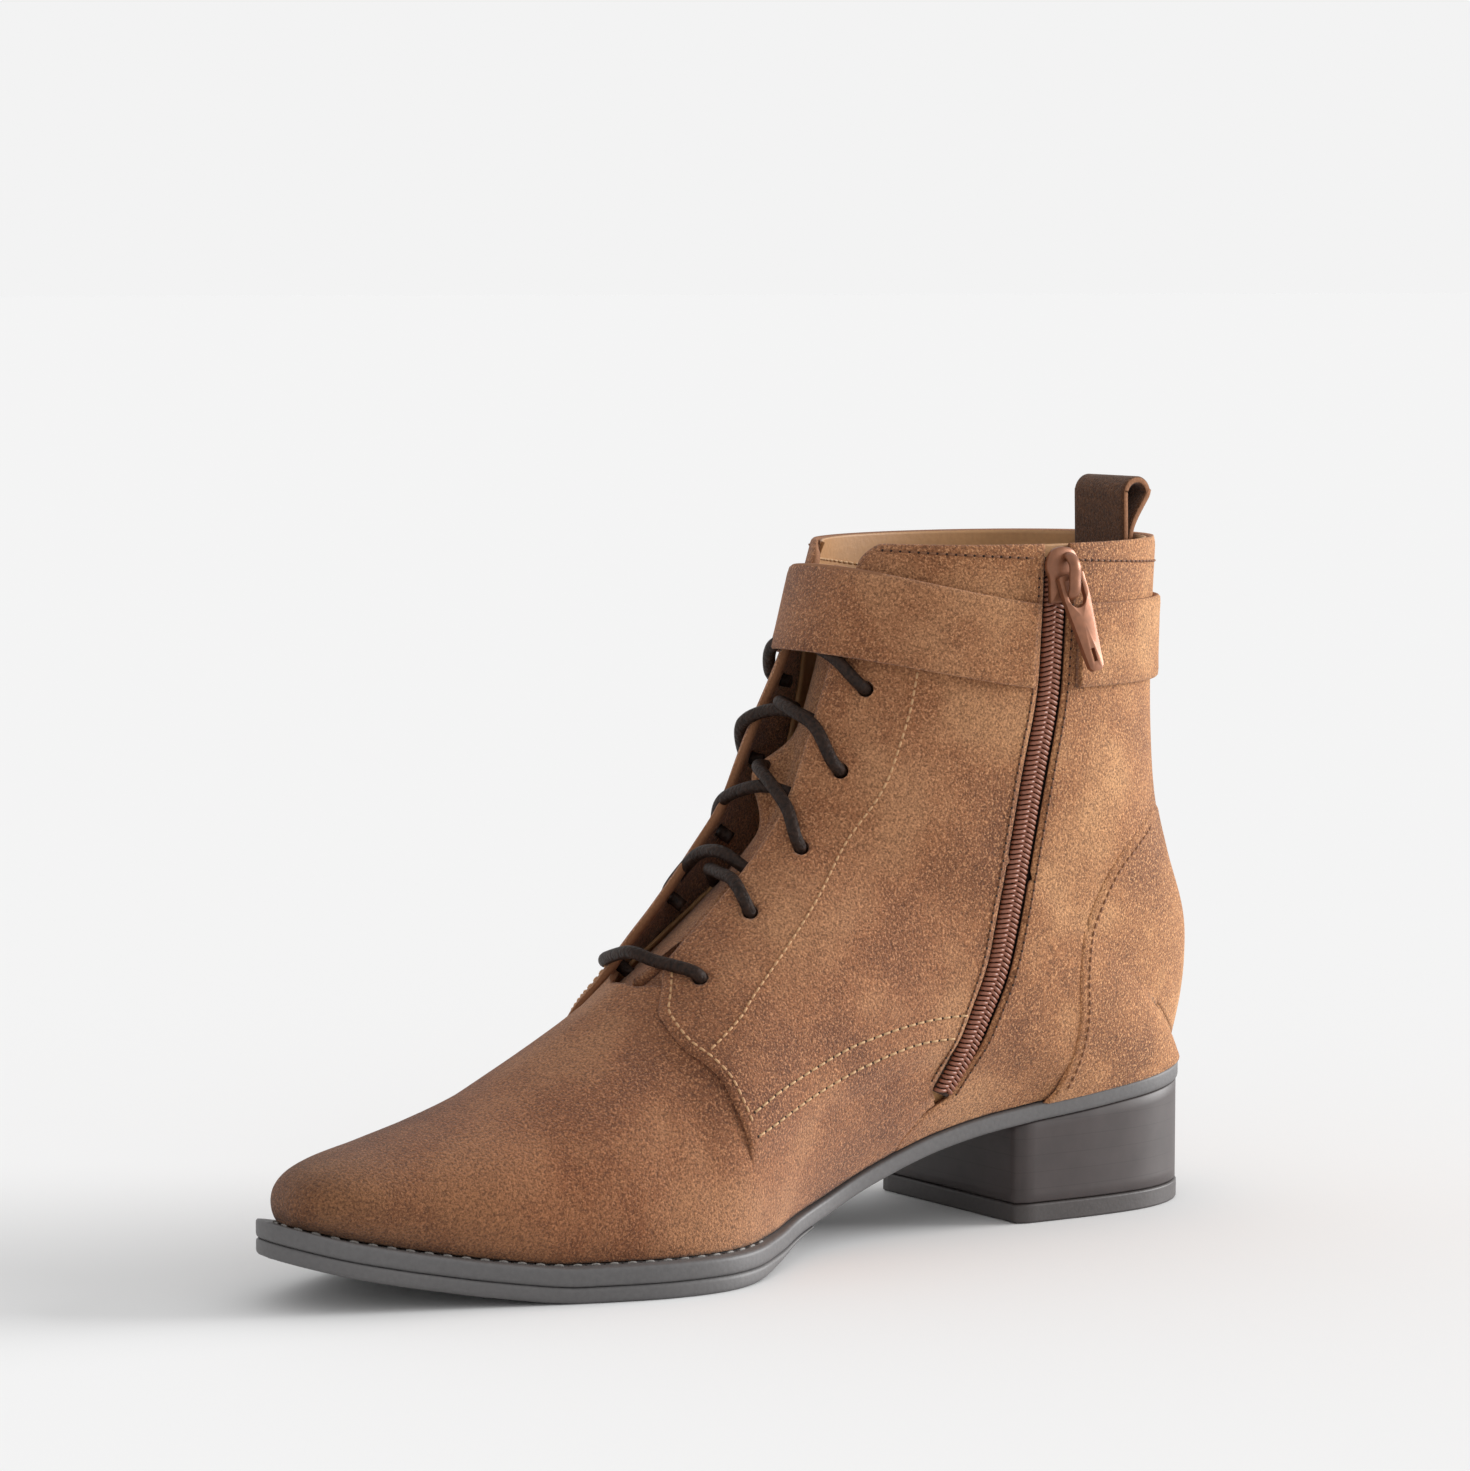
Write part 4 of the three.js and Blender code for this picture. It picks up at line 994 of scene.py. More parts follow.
class BOOT_OT_upper(bpy.types.Operator):
    """Add the vamp, the quarters and the inner rear panel"""

    bl_idname = "boot.upper"
    bl_label = "Add Upper"

    def execute(self, context):
        turns = np.linspace(-1, 1, 171)
        shares = np.concatenate([[0.0, 0.004, 0.012], np.linspace(0.025, 1, 118)])
        place = (shares[:, None] * vamp_back(turns)[None]).ravel()
        turn = np.tile(turns, len(shares))
        normals = skin_normal(place, turn)
        points = skin_point(place, turn)
        under = place - vamp_back(turn) + WAIST_UNDER
        sunk = 0.9 * smooth_step(under / WAIST_UNDER + 0.2) * (turn > 0.9)
        points = points - normals * sunk[:, None]
        bm = bmesh.new()
        add_grid(bm, points.reshape(len(shares), len(turns), 3))
        vamp = finish_panel(bm, "vamp", points, normals)
        thicken(vamp, VAMP_SHEET * MM, "raw_leather_edge")
        inner = panel("quarter_inner", front_border(1), zip_border(-ZIP_HALF), quarter_cover)
        rear = panel("rear_inner", zip_border(ZIP_HALF), rear_border(1), quarter_out,
                     (True, False, True), columns=30, level=True)
        outer = panel("quarter_outer", front_border(-1), rear_border(-1), outer_cover,
                      (True, False, True), columns=80)
        for part in (inner, rear, outer):
            thicken(part, sizes().leather, "raw_leather_edge")
        for part, side in ((inner, 1), (outer, -1)):
            cut(part, lace_hole_shapes(side))
        for part in (vamp, inner, rear, outer):
            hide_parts("upper")
        return {"FINISHED"}


LACE_HOLE = 3.8


def lace_spots(side):
    """Where the lace holes are: points of the last and their normals."""
    place, turn = find_surface(LACE_HOLES["at"], LACE_HOLES["up"], side)
    return skin_point(place, side * turn), skin_normal(place, side * turn)


def lace_hole_shapes(side):
    """Round pins through the lace holes of one side."""
    bm = bmesh.new()
    for point, normal in zip(*lace_spots(side)):
        add_tube(bm, [point - normal * 6, point + normal * 6], LACE_HOLE / 2, 24)
    bmesh.ops.remove_doubles(bm, verts=bm.verts, dist=WELD)
    return bm


class BOOT_OT_counter(bpy.types.Operator):
    """Add the heel counter, from the sole round the back"""

    bl_idname = "boot.counter"
    bl_label = "Add Counter"

    def execute(self, context):
        shares = np.linspace(0, 1, 90)
        bm = bmesh.new()
        every = []
        for side in (1, -1):
            front = resample(rear_line(side), shares)
            base = np.column_stack([front[:, 0], np.full(len(front), float(side))])
            u = np.concatenate([[0, 0.01, 0.03, 0.06], np.linspace(0.1, 1, 40)])
            grid, distance, _ = ruled(front, base, lambda width: u)
            place, turn = grid[..., 0].ravel(), grid[..., 1].ravel()
            points, normals = skin_point(place, turn), skin_normal(place, turn)
            points = points + normals * (COUNTER_OUT - rounded(distance.ravel(), *COUNTER_ROUNDING))[:, None]
            add_grid(bm, points.reshape(grid.shape[:2] + (3,)))
            every.append((points, normals))
        bmesh.ops.remove_doubles(bm, verts=bm.verts, dist=WELD)
        bmesh.ops.recalc_face_normals(bm, faces=bm.faces)
        counter = finish_panel(bm, "heel_counter_cover", *(np.vstack(k) for k in zip(*every)))
        thicken(counter, COUNTER_SHEET * MM)
        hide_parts("heel_counter")
        return {"FINISHED"}


class BOOT_OT_lining(bpy.types.Operator):
    """Add the smooth lining inside the upper"""

    bl_idname = "boot.lining"
    bl_label = "Add Lining"

    def execute(self, context):
        bm = bmesh.new()
        every = []
        places = np.concatenate([np.linspace(2, 18.97, 120), [18.99]])
        for side in (1, -1):
            half = np.interp(places, [7, 9, 18.2, COLLAR], [24, 21, 19, THROAT_HALF[1] + COLLAR_CORNER])
            start = np.where(places > 7.2, np.abs(throat_line(side, places, half)[:, 1]), 0.0)
            t = np.linspace(0, 1, 60)
            turn = side * (start[:, None] + (1 - start)[:, None] * t[None])
            place = np.repeat(places[:, None], len(t), axis=1).ravel()
            turn = turn.ravel()
            points, normals = skin_point(place, turn), skin_normal(place, turn)
            out = quarter_out(points) - sizes().leather / MM - 0.05
            points = points + normals * out[:, None]
            add_grid(bm, points.reshape(len(places), len(t), 3))
            every.append((points, normals))
        bmesh.ops.remove_doubles(bm, verts=bm.verts, dist=WELD)
        bmesh.ops.recalc_face_normals(bm, faces=bm.faces)
        points, normals = (np.vstack(k) for k in zip(*every))
        lining = finish_panel(bm, "lining", points, normals, "smooth_lining_leather")
        thicken(lining, LINING_SHEET * MM)
        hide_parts("upper")
        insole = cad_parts["insole"]
        insole.data.materials.clear()
        insole.data.materials.append(material("smooth_lining_leather"))
        return {"FINISHED"}


# The tongue
TONGUE_BOTTOM = 7.3
TONGUE_TOP = 18.6
TONGUE_TURN = 0.30
TONGUE_DEPTH = 3.4
TONGUE_SAG = 3.6
TONGUE_SHEET = 1.8
FOLD_AT = 13.9
FOLD_SPAN = 0.72
FOLD_SHARE = -0.40
FOLD_RISE = 7.5
FOLD_WIDTH = 0.11


class BOOT_OT_tongue(bpy.types.Operator):
    """Add the tongue behind the facings"""

    bl_idname = "boot.tongue"
    bl_label = "Add Tongue"

    def execute(self, context):
        places = np.linspace(TONGUE_BOTTOM, TONGUE_TOP, 120)
        shares = np.linspace(-1, 1, 49)
        place = np.repeat(places, len(shares))
        share = np.tile(shares, len(places))
        seated = np.clip((place - TONGUE_BOTTOM) / 2, 0, 1)
        depth = VAMP_WALL + FIT + (TONGUE_DEPTH - VAMP_WALL - FIT) * seated
        sag = seated * TONGUE_SAG * (1 - share * share)
        turn = TONGUE_TURN * share
        turn = np.where(np.abs(turn) < 1e-4, 1e-4, turn)
        points, normals = skin_point(place, turn), skin_normal(place, turn)
        fold = np.exp(-((place - FOLD_AT) / FOLD_SPAN) ** 2)
        fold = fold * np.exp(-((share - FOLD_SHARE) / FOLD_WIDTH) ** 2)
        points = points - normals * (depth + sag - FOLD_RISE * fold)[:, None]
        bm = bmesh.new()
        add_grid(bm, points.reshape(len(places), len(shares), 3))
        tongue = finish_panel(bm, "tongue_sheet", points, normals)
        thicken(tongue, TONGUE_SHEET * MM)
        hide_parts("tongue")
        return {"FINISHED"}


# The lace
ON_FACING = QUARTER + 1.55
UNDER_FACING = -(VAMP_WALL + FIT + 1.7)
HOLE_PLACES = find_surface(LACE_HOLES["at"], LACE_HOLES["up"], 1)[0]
HOLE_ACROSS = (18.7, 16.4, 15.4, 16.0, 16.2, 17.8)
PLACES_BELOW = 1.6
CORD_END = -4.5
FAR_LIFTS = (0, 0.15, 0.75, 1.0, 0.5)

# The bottom bar between its holes: rows, distances from the middle, and heights over the facings
BAR_POINTS = [(-0.07, 16.2, 0.0), (-0.27, 9.1, 0.2), (-0.36, 0.01, 1.2), (-0.24, -9.0, 0.6),
              (-0.06, -15.5, 0.0)]

# How far a lace has risen, in rows: at the facing, on both sides of the middle, and where it goes under
NEAR_RISES = [(0.14, 0.18, 0.26, 0.40), (0.34, 0.55, 0.72, 0.85), (0.33, 0.42, 0.52, 0.62),
              (0.19, 0.28, 0.40, 0.55)]
FAR_RISES = [(0.30, 0.42, 0.44, 0.44), (0.30, 0.44, 0.52, 0.56), (0.26, 0.40, 0.44, 0.42),
             (0.26, 0.40, 0.50, 0.55)]


def throat_point(row, across, out):
    """A point over the facings: a row of the lacing, a distance from the middle, and one outwards."""
    side = -1.0 if across < 0 else 1.0
    place = np.array([np.interp(row, np.arange(len(HOLE_PLACES)), HOLE_PLACES)])
    place += min(row, 0) * PLACES_BELOW
    turn = throat_line(side, place, np.array([abs(across)]))[0, 1]
    turn = side * max(abs(turn), 0.002)
    near = side * max(abs(turn), 0.03)
    normal = skin_normal(place, np.array([near]))[0]
    return skin_point(place, np.array([turn]))[0] + normal * out


class BOOT_OT_lace(bpy.types.Operator):
    """Add the lace over the throat"""

    bl_idname = "boot.lace"
    bl_label = "Add Lace"

    def execute(self, context):
        radius = sizes().lace_diameter / MM / 2
        half = THROAT_HALF[0]
        inner, outer = (list(zip(*lace_spots(side))) for side in (1, -1))

        def hole(side, row, out):
            point, normal = (inner if side > 0 else outer)[row]
            return point + normal * out

        def add_lace(name, node, runs):
            bm = bmesh.new()
            for run in runs:
                add_tube(bm, smooth_path(run, 0.9), radius, 14)
            lace = finish_mesh(bm, name, "waxed_cotton_cord")
            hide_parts(node)

        bar = [hole(1, 0, out) for out in (CORD_END, 0.2, 2.0)]
        bar += [throat_point(row, across, ON_FACING + out) for row, across, out in BAR_POINTS]
        bar += [hole(-1, 0, out) for out in (2.0, 0.2, CORD_END)]
        add_lace("lace_bottom_bar", "lace_bar", [bar])
        for row in range(1, 5):
            runs = []
            for side in (1, -1):
                reach = HOLE_ACROSS[row]
                lift = FACING_LIFT * FAR_LIFTS[row] if side < 0 else 0
                over = 2.0 if (side > 0) == (row != 1) else 0.2
                rises = NEAR_RISES[row - 1] if side > 0 else FAR_RISES[row - 1]
                runs.append([
                    hole(side, row, CORD_END if side > 0 else lift * 0.6 - 2.6),
                    hole(side, row, lift * 0.5),
                    throat_point(row + rises[0] * 0.18, side * (reach - 1.6), ON_FACING + lift * 0.55),
                    throat_point(row + rises[0], side * (half + 0.4), ON_FACING + lift * 0.78),
                    throat_point(row + rises[1], side * half * 0.5, over + 0.4 + lift * 0.4),
                    throat_point(row + rises[2], -side * half * 0.2, over - 0.8),
                    throat_point(row + rises[3], -side * half * 0.95, UNDER_FACING + 1.4),
                    throat_point(row + rises[3] + 0.08, -side * half * 1.5, UNDER_FACING),
                ])
            add_lace(f"lace_pair_{row}", f"lace_crossing_{row}", runs)
        return {"FINISHED"}


# The ankle strap
STRAP_WIDTH = 20.0
STRAP_THICKNESS = 1.6
STRAP_STAND_OFF = 2.6
STRAP_HIGH = 0.858
STRAP_RISE = 12.0
STRAP_RISE_FROM = 0.235
STRAP_RISE_SPAN = 0.205
STRAP_FRONT_END = 0.436
STRAP_BACK_END = 0.522


def strap_middle(at):
    """The height of the strap's middle, which rises towards the front."""
    share = np.maximum(0, (at - STRAP_RISE_FROM) / STRAP_RISE_SPAN)
    return SEAT_HEIGHT + STRAP_HIGH * UPPER_HEIGHT - 5.9 + STRAP_RISE * share ** 1.3


def shaft_point(side, turn, height):
    """The points and normals of the shaft at a height, for arrays of sides and turns."""
    low, high = np.full_like(turn, 8.0), np.full_like(turn, COLLAR)
    for _ in range(30):
        middle = (low + high) / 2
        below = last_point(middle, side, turn)[:, 2] < height
        low, high = np.where(below, middle, low), np.where(below, high, middle)
    place = (low + high) / 2
    return last_point(place, side, turn), last_normal(place, side, turn)


class BOOT_OT_strap(bpy.types.Operator):
    """Add the ankle strap round the shaft"""

    bl_idname = "boot.strap"
    bl_label = "Add Strap"

    def execute(self, context):
        turn = np.concatenate([np.linspace(STRAP_FRONT_END, 0, 70), np.linspace(0, 1, 160)[1:],
                               np.linspace(1, STRAP_BACK_END, 70)[1:]])
        side = np.concatenate([np.ones(70), -np.ones(159), np.ones(69)])
        level = np.full_like(turn, SEAT_HEIGHT + STRAP_HIGH * UPPER_HEIGHT)
        guess = shaft_point(side, turn, level)[0]
        middle = strap_middle(-guess[:, 1] / SOLE_LENGTH)
        lift = np.maximum(0, 1 - turn / 0.36)
        out = QUARTER + FIT + STRAP_STAND_OFF * smooth_step(lift)
        way = shaft_point(side, turn, middle)[1]
        way[:, 2] = 0
        way /= np.linalg.norm(way, axis=1)[:, None]
        way[turn < 1e-6] = [0, -1, 0]
        half, thick = STRAP_WIDTH / 2, STRAP_THICKNESS
        profile = [(thick * 0.7, half), (thick, half - 0.5), (thick + 0.12, half - 2),
                   (thick + 0.05, half - 5), (thick + 0.05, 5 - half),
                   (thick + 0.12, 2 - half), (thick, 0.5 - half),
                   (thick * 0.7, -half), (thick * 0.2, -half), (0, 0.4 - half), (0, -5), (0, 5),
                   (0, half - 0.4), (thick * 0.2, half), (thick * 0.7, half)]
        grid = np.stack([shaft_point(side, turn, middle + rise)[0] + way * (out + far)[:, None]
                         for far, rise in profile], axis=1)
        bm = bmesh.new()
        add_strip(bm, grid)
        strap = finish_mesh(bm, "ankle_strap_band", "brushed_suede")
        paint_edges(strap, 2, "raw_leather_edge")
        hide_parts("ankle_strap")
        return {"FINISHED"}


# The pull loop
LOOP_WIDTH = 19.0
LOOP_HEIGHT = 14.0
LOOP_DEPTH = 9.0
LOOP_THICKNESS = 1.8
LOOP_LEAN = 2.5


class BOOT_OT_loop(bpy.types.Operator):
    """Add the pull loop behind the collar"""

    bl_idname = "boot.loop"
    bl_label = "Add Pull Loop"

    def execute(self, context):
        back = end_point(np.array([float(HEEL_BACK + len(BACK_SEAM["up"]) - 1)]), 1)[0]
        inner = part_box("pull_loop")[0][1] / MM - SHIFT[1]
        rim = back[2]
        t = LOOP_THICKNESS
        middle = inner + t
        shoulder = rim + LOOP_HEIGHT - LOOP_DEPTH / 2
        radius = LOOP_DEPTH / 2 - t / 2
        centre = (middle + LOOP_LEAN, shoulder)
        path = [(middle - t / 2 - 0.05, rim - 8), (middle - t / 2 - 0.05, rim + 1)]
        for i in range(15):
            angle = math.pi * (1 - i / 14)
            path.append((centre[0] + radius * math.cos(angle), centre[1] + radius * math.sin(angle)))
        path += [(middle + t / 2 + 0.05, rim + 1), (middle + t / 2 + 0.05, rim - 8)]
        line = smooth_path(np.array([(0, y, z) for y, z in path]), 0.7)
        ways = np.gradient(line, axis=0)
        ways /= np.linalg.norm(ways, axis=1)[:, None]
        across = np.array([1.0, 0, 0])
        thick = np.cross(ways, across)
        w, h = LOOP_WIDTH / 2, t / 2
        profile = [(-w, -h + 0.3), (-w, h - 0.3), (0.35 - w, h), (1.5 - w, h), (w - 1.5, h), (w - 0.35, h),
                   (w, h - 0.3), (w, 0.3 - h), (w - 0.35, -h), (w - 1.5, -h), (1.5 - w, -h), (0.35 - w, -h),
                   (-w, -h + 0.3)]
        grid = np.stack([line + across * a + thick * b for a, b in profile], axis=1)
        grid[..., 0] += back[0]
        bm = bmesh.new()
        add_strip(bm, grid)
        loop = finish_mesh(bm, "pull_loop_strip", "loop_suede")
        paint_edges(loop, 0, "raw_leather_edge")
        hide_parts("pull_loop")
        return {"FINISHED"}


# The zip
CHAIN_PITCH = 1.2
CHAIN_RISE = 1.2
COIL_WIRE = 0.47
TAPE_PROFILE = [(-5.0, -1.6), (-5.0, -0.9), (-1.2, -0.25), (1.2, -0.25), (5.0, -0.9), (5.0, -1.6),
                (-5.0, -1.6)]

# One loop of the coil: across the zip, out of it and along it
COIL_LOOP = [(2.35, -0.5, -0.55), (2.5, 0.25, -0.45), (2.1, 0.85, -0.3), (1.0, 1.0, 0.05), (0.15, 0.8, 0.3),
             (-0.2, 0.3, 0.4)]

# The end stop: distances below the chain's top, and radii
STOP_ROWS = [(3.4, 0.9), (2.9, 1.25), (1.1, 1.25), (0.6, 0.9)]


def zip_track(step):
    """Points, normals and crossing directions along the zip's middle, a step apart."""
    line = side_line(ZIP_LINE, 1)
    line = line[line[:, 0] < COLLAR - 0.03]
    points = skin_point(line[:, 0], line[:, 1])
    length = np.linalg.norm(np.diff(points, axis=0), axis=1).sum()
    line = resample(line, np.linspace(0, 1, round(length / step) + 1))
    points, normals = skin_point(line[:, 0], line[:, 1]), skin_normal(line[:, 0], line[:, 1])
    along = np.gradient(points, axis=0)
    across = np.cross(along, normals)
    across /= np.linalg.norm(across, axis=1)[:, None]
    along /= np.linalg.norm(along, axis=1)[:, None]
    return points, normals, across, along


class BOOT_OT_zip(bpy.types.Operator):
    """Add the zip's tape and its coil"""

    bl_idname = "boot.zip"
    bl_label = "Add Zip"

    def execute(self, context):
        points, normals, across, along = zip_track(1.5)
        grid = np.stack([points + across * a + normals * b for a, b in TAPE_PROFILE], axis=1)
        bm = bmesh.new()
        add_strip(bm, grid)
        tape = finish_mesh(bm, "zip_tape_strip", "zip_tape")
        points, normals, across, along = zip_track(CHAIN_PITCH)
        bm = bmesh.new()
        for side in (-1, 1):
            for i in range(1, len(points) - 1):
                spot = points[i] + along[i] * (0 if side < 0 else CHAIN_PITCH / 2)
                run = [spot + across[i] * side * a + normals[i] * b + along[i] * c for a, b, c in COIL_LOOP]
                add_tube(bm, run, COIL_WIRE, 7)
        coil = finish_mesh(bm, "zip_coil_loops", "nylon_coil")
        bm = bmesh.new()
        top = points[-1] + normals[-1] * 1.3 - across[-1] * 2.6
        rows = [(top - along[-1] * low, radius) for low, radius in STOP_ROWS]
        add_tube(bm, *zip(*rows), 12)
        stop = finish_mesh(bm, "zip_end_stop", "bright_steel")
        for piece in (tape, coil, stop):
            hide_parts("zip_chain")
        return {"FINISHED"}


# The slider and its pull share one frame: across the zip, along it and out of the boot.
SLIDER_LENGTH = 12.5
SLIDER_WIDTH = 8.4
SLIDER_PLATE = 1.8
SLIDER_ASIDE = 0.9
PULL_LENGTH = 23.0
PULL_THICKNESS = 1.4
PIN = 1.3
PLATE_LOW = CHAIN_RISE + FIT
PLATE_HIGH = PLATE_LOW + SLIDER_PLATE
BAIL_GAP = FIT + PIN + FIT
BAIL_RIDGE = 1.6
BAIL_WIDTH = 2.0
PULL_LEAN = math.radians(12)
PULL_TILT = math.radians(12)
PULL_WIDTH = 7.4
PULL_TIP = 4.0
EYE_WIDTH = BAIL_WIDTH + 3
EYE_LENGTH = 7.6


def slider_axes():
    """The slider's origin and its three directions."""
    at, up = np.array([0.2225]), np.array([0.985])
    place, turn = find_surface(at, up, 1)
    origin = skin_point(place, turn)[0]
    normal = last_normal(place, np.array([1.0]), turn)[0]
    across = np.cross([0, 0, 1.0], normal)
    across /= np.linalg.norm(across)
    return origin, across, np.cross(normal, across), normal


SLIDER_AXES = slider_axes()


def on_slider(points):
    """Points of the slider's own frame, on the boot."""
    origin, across, along, normal = SLIDER_AXES
    return origin + points @ np.array([across, along, normal])


def on_pull(points):
    """Points of the pull's own frame: it hangs along minus y from its pin, turned and tilted a little."""
    c, s = math.cos(-PULL_TILT), math.sin(-PULL_TILT)
    points = points @ np.array([[1, 0, 0], [0, c, s], [0, -s, c]])
    c, s = math.cos(PULL_LEAN), math.sin(PULL_LEAN)
    points = points @ np.array([[c, s, 0], [-s, c, 0], [0, 0, 1]])
    return on_slider(points + [0, 0, PLATE_HIGH + FIT + PIN / 2])


def smooth_outline(points, step=0.5):
    """A closed outline through points, with soft corners."""
    points = np.array(points, float)
    loop = np.vstack([points, points[:1]])
    rows = {"x": loop[:, 0], "y": loop[:, 1]}
    t = np.linspace(0, len(points), int(len(points) * 4 / step))[:-1]
    return np.column_stack([column(rows, "x", t), column(rows, "y", t)])


class BOOT_OT_slider(bpy.types.Operator):
    """Add the zip's slider and its pull tab"""

    bl_idname = "boot.slider"
    bl_label = "Add Slider and Pull"

    def execute(self, context):
        half, wide = SLIDER_LENGTH / 2, SLIDER_WIDTH
        right = [(wide * 0.34, -half), (wide * 0.42, -half + 0.6), (wide * 0.45, -half * 0.1),
                 (wide * 0.55, half * 0.25), (wide * 0.55, half * 0.60), (wide * 0.38, half * 0.98),
                 (wide * 0.14, half * 1.12)]
        outline = smooth_outline(right + [(-x, y) for x, y in right[::-1]]) - [SLIDER_ASIDE, 0]
        rows = [(1, PLATE_LOW), (0.08, PLATE_LOW), (0, PLATE_LOW + 0.25), (0, PLATE_HIGH - 0.7),
                (0.06, PLATE_HIGH - 0.25), (0.2, PLATE_HIGH), (0.5, PLATE_HIGH + 0.25),
                (1, PLATE_HIGH + 0.35)]
        bm = bmesh.new()
        add_pillow(bm, outline, rows, on_slider)
        top = PLATE_HIGH + BAIL_GAP + 1.0
        arch = [(0, -half * 0.80, PLATE_HIGH - 0.5), (0, -half * 0.78, PLATE_HIGH + 1.2),
                (0, -half * 0.52, top - 0.1), (0, 0, top + 0.05), (0, half * 0.45, top - 0.1),
                (0, half * 0.74, PLATE_HIGH + 1.2), (0, half * 0.78, PLATE_HIGH - 0.5)]
        path = on_slider(smooth_path(np.array(arch), 0.4))
        add_tube(bm, path, BAIL_RIDGE, 16, flat=0.62, across=SLIDER_AXES[1])
        slider = finish_mesh(bm, "slider_body", "lacquered_metal")
        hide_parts("zip_slider")

        w, t = PULL_WIDTH / 2, PULL_TIP / 2
        top = PIN / 2
        side = [(w - 0.5, top), (w, top - 0.5), (w, -EYE_LENGTH * 0.7), (t, 1 - PULL_LENGTH),
                (t - 0.8, -PULL_LENGTH)]
        outline = np.array(side + [(-x, y) for x, y in side[::-1]])
        dense = []
        for a, b in zip(outline, np.roll(outline, -1, axis=0)):
            count = max(1, int(np.linalg.norm(b - a)))
            dense += [a + (b - a) * i / count for i in range(count)]
        thick = PULL_THICKNESS / 2
        bm = bmesh.new()
        add_pillow(bm, np.array(dense), [(1, -thick), (0, -thick), (0, thick), (1, thick)], on_pull)
        pull = finish_mesh(bm, "pull_tab", "lacquered_metal", body="zip_pull")
        e = EYE_WIDTH / 2
        eye = [(-e, top - PIN), (e, top - PIN)]
        eye += [(e * math.cos(a), -EYE_LENGTH + e + e * math.sin(a)) for a in np.linspace(0, -math.pi, 17)]
        slot = [(-0.5, 2.2 - PULL_LENGTH), (0.7, 2.2 - PULL_LENGTH), (0.7, 5.4 - PULL_LENGTH),
                (-0.5, 5.4 - PULL_LENGTH)]
        for hole in (eye, slot):
            bm = bmesh.new()
            add_pillow(bm, np.array(hole), [(1, -2), (0, -2), (0, 2), (1, 2)], on_pull)
            bmesh.ops.remove_doubles(bm, verts=bm.verts, dist=WELD)
            cut(pull, bm)
        edge = pull.modifiers.new("edge", "BEVEL")
        edge.width = 0.22 * MM
        edge.segments = 2
        edge.limit_method = "ANGLE"
        apply_modifiers(pull)
        pull.data.shade_smooth()
        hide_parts("zip_pull")
        return {"FINISHED"}


# The sole
def sole_band(name, node, finish, low, high, profile, places):
    """A layer of the sole: its profile of insets and height shares, swept round the outline."""
    grid = []
    for inset, share, drop in profile:
        if inset is None:
            flat = (ring_point(places) + ring_point(-places)) / 2
        else:
            flat = edge_point(places, 1, np.full_like(places, inset))
        at = -flat[:, 1] / SOLE_LENGTH
        bottom, top = low(at), high(at)
        height = bottom + (top - bottom) * share + drop * np.clip((top - bottom) / 2, 0, 1)
        grid.append(np.column_stack([flat, height]))
    bm = bmesh.new()
    add_grid(bm, np.array(grid))
    obj = finish_mesh(bm, name, finish)
    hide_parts(node)


BAND = [(None, 1, 0), (8, 1, 0), (1.0, 1, 0), (0.35, 1, -0.12), (0.05, 1, -0.5), (0, 1, -1.0), (0, 0.5, 0),
        (0, 0, 1.0), (0.1, 0, 0.5), (0.45, 0, 0.12), (1.1, 0, 0), (8, 0, 0), (None, 0, 0)]
TREAD_END = 11.2
HEEL_LENGTH = 62.0
LIFT = 4.7
HEEL_INSET = 0.5


class BOOT_OT_sole(bpy.types.Operator):
    """Add the midsole and the outsole"""

    bl_idname = "boot.sole"
    bl_label = "Add Sole"

    def execute(self, context):
        places = np.linspace(0, len(RING), 381)
        sole_band("midsole_band", "midsole", "moulded_rubber", lambda at: sole_heights(at)[1],
                  lambda at: sole_heights(at)[2], BAND, places)
        places = np.linspace(-TREAD_END, TREAD_END, 240)
        sole_band("outsole_tread", "outsole", "moulded_rubber", lambda at: sole_heights(at)[0],
                  lambda at: sole_heights(at)[1], BAND, places)
        return {"FINISHED"}


def heel_outline(inset):
    """The outline of the heel: the sole's back, with a straight breast."""
    places = np.linspace(HEEL_BACK - 7, HEEL_BACK + 7, 160)
    arc = edge_point(places, 1, np.full_like(places, inset))
    arc = arc[arc[:, 1] > -HEEL_LENGTH + 1.2]
    first, last = arc[0], arc[-1]
    breast = np.linspace(last[0] + 1.4, first[0] - 1.4, 24)
    front = np.column_stack([breast, np.full_like(breast, -HEEL_LENGTH)])
    return np.vstack([arc, front])


def heel_form(name, node, finish, inset, low, high):
    """A form on the heel's outline between two heights, which may follow the sole."""
    outline = heel_outline(inset)
    middle = outline.mean(axis=0)
    loop = np.vstack([outline, outline[:1]])
    grid = []
    rows = [(1, 0, 0), (0.03, 0, 0), (0.008, 0, 0.12), (0, 0, 0.45)]
    rows += [(0, share, 0) for share in np.linspace(0.12, 0.88, 9)]
    rows += [(0, 1, -0.45), (0.008, 1, -0.12), (0.03, 1, 0), (1, 1, 0)]
    for inward, share, move in rows:
        flat = loop + (middle - loop) * inward
        at = -flat[:, 1] / SOLE_LENGTH
        bottom, top = low(at), high(at)
        grid.append(np.column_stack([flat, bottom + (top - bottom) * share + move]))
    bm = bmesh.new()
    add_grid(bm, np.array(grid))
    obj = finish_mesh(bm, name, finish)
    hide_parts(node)


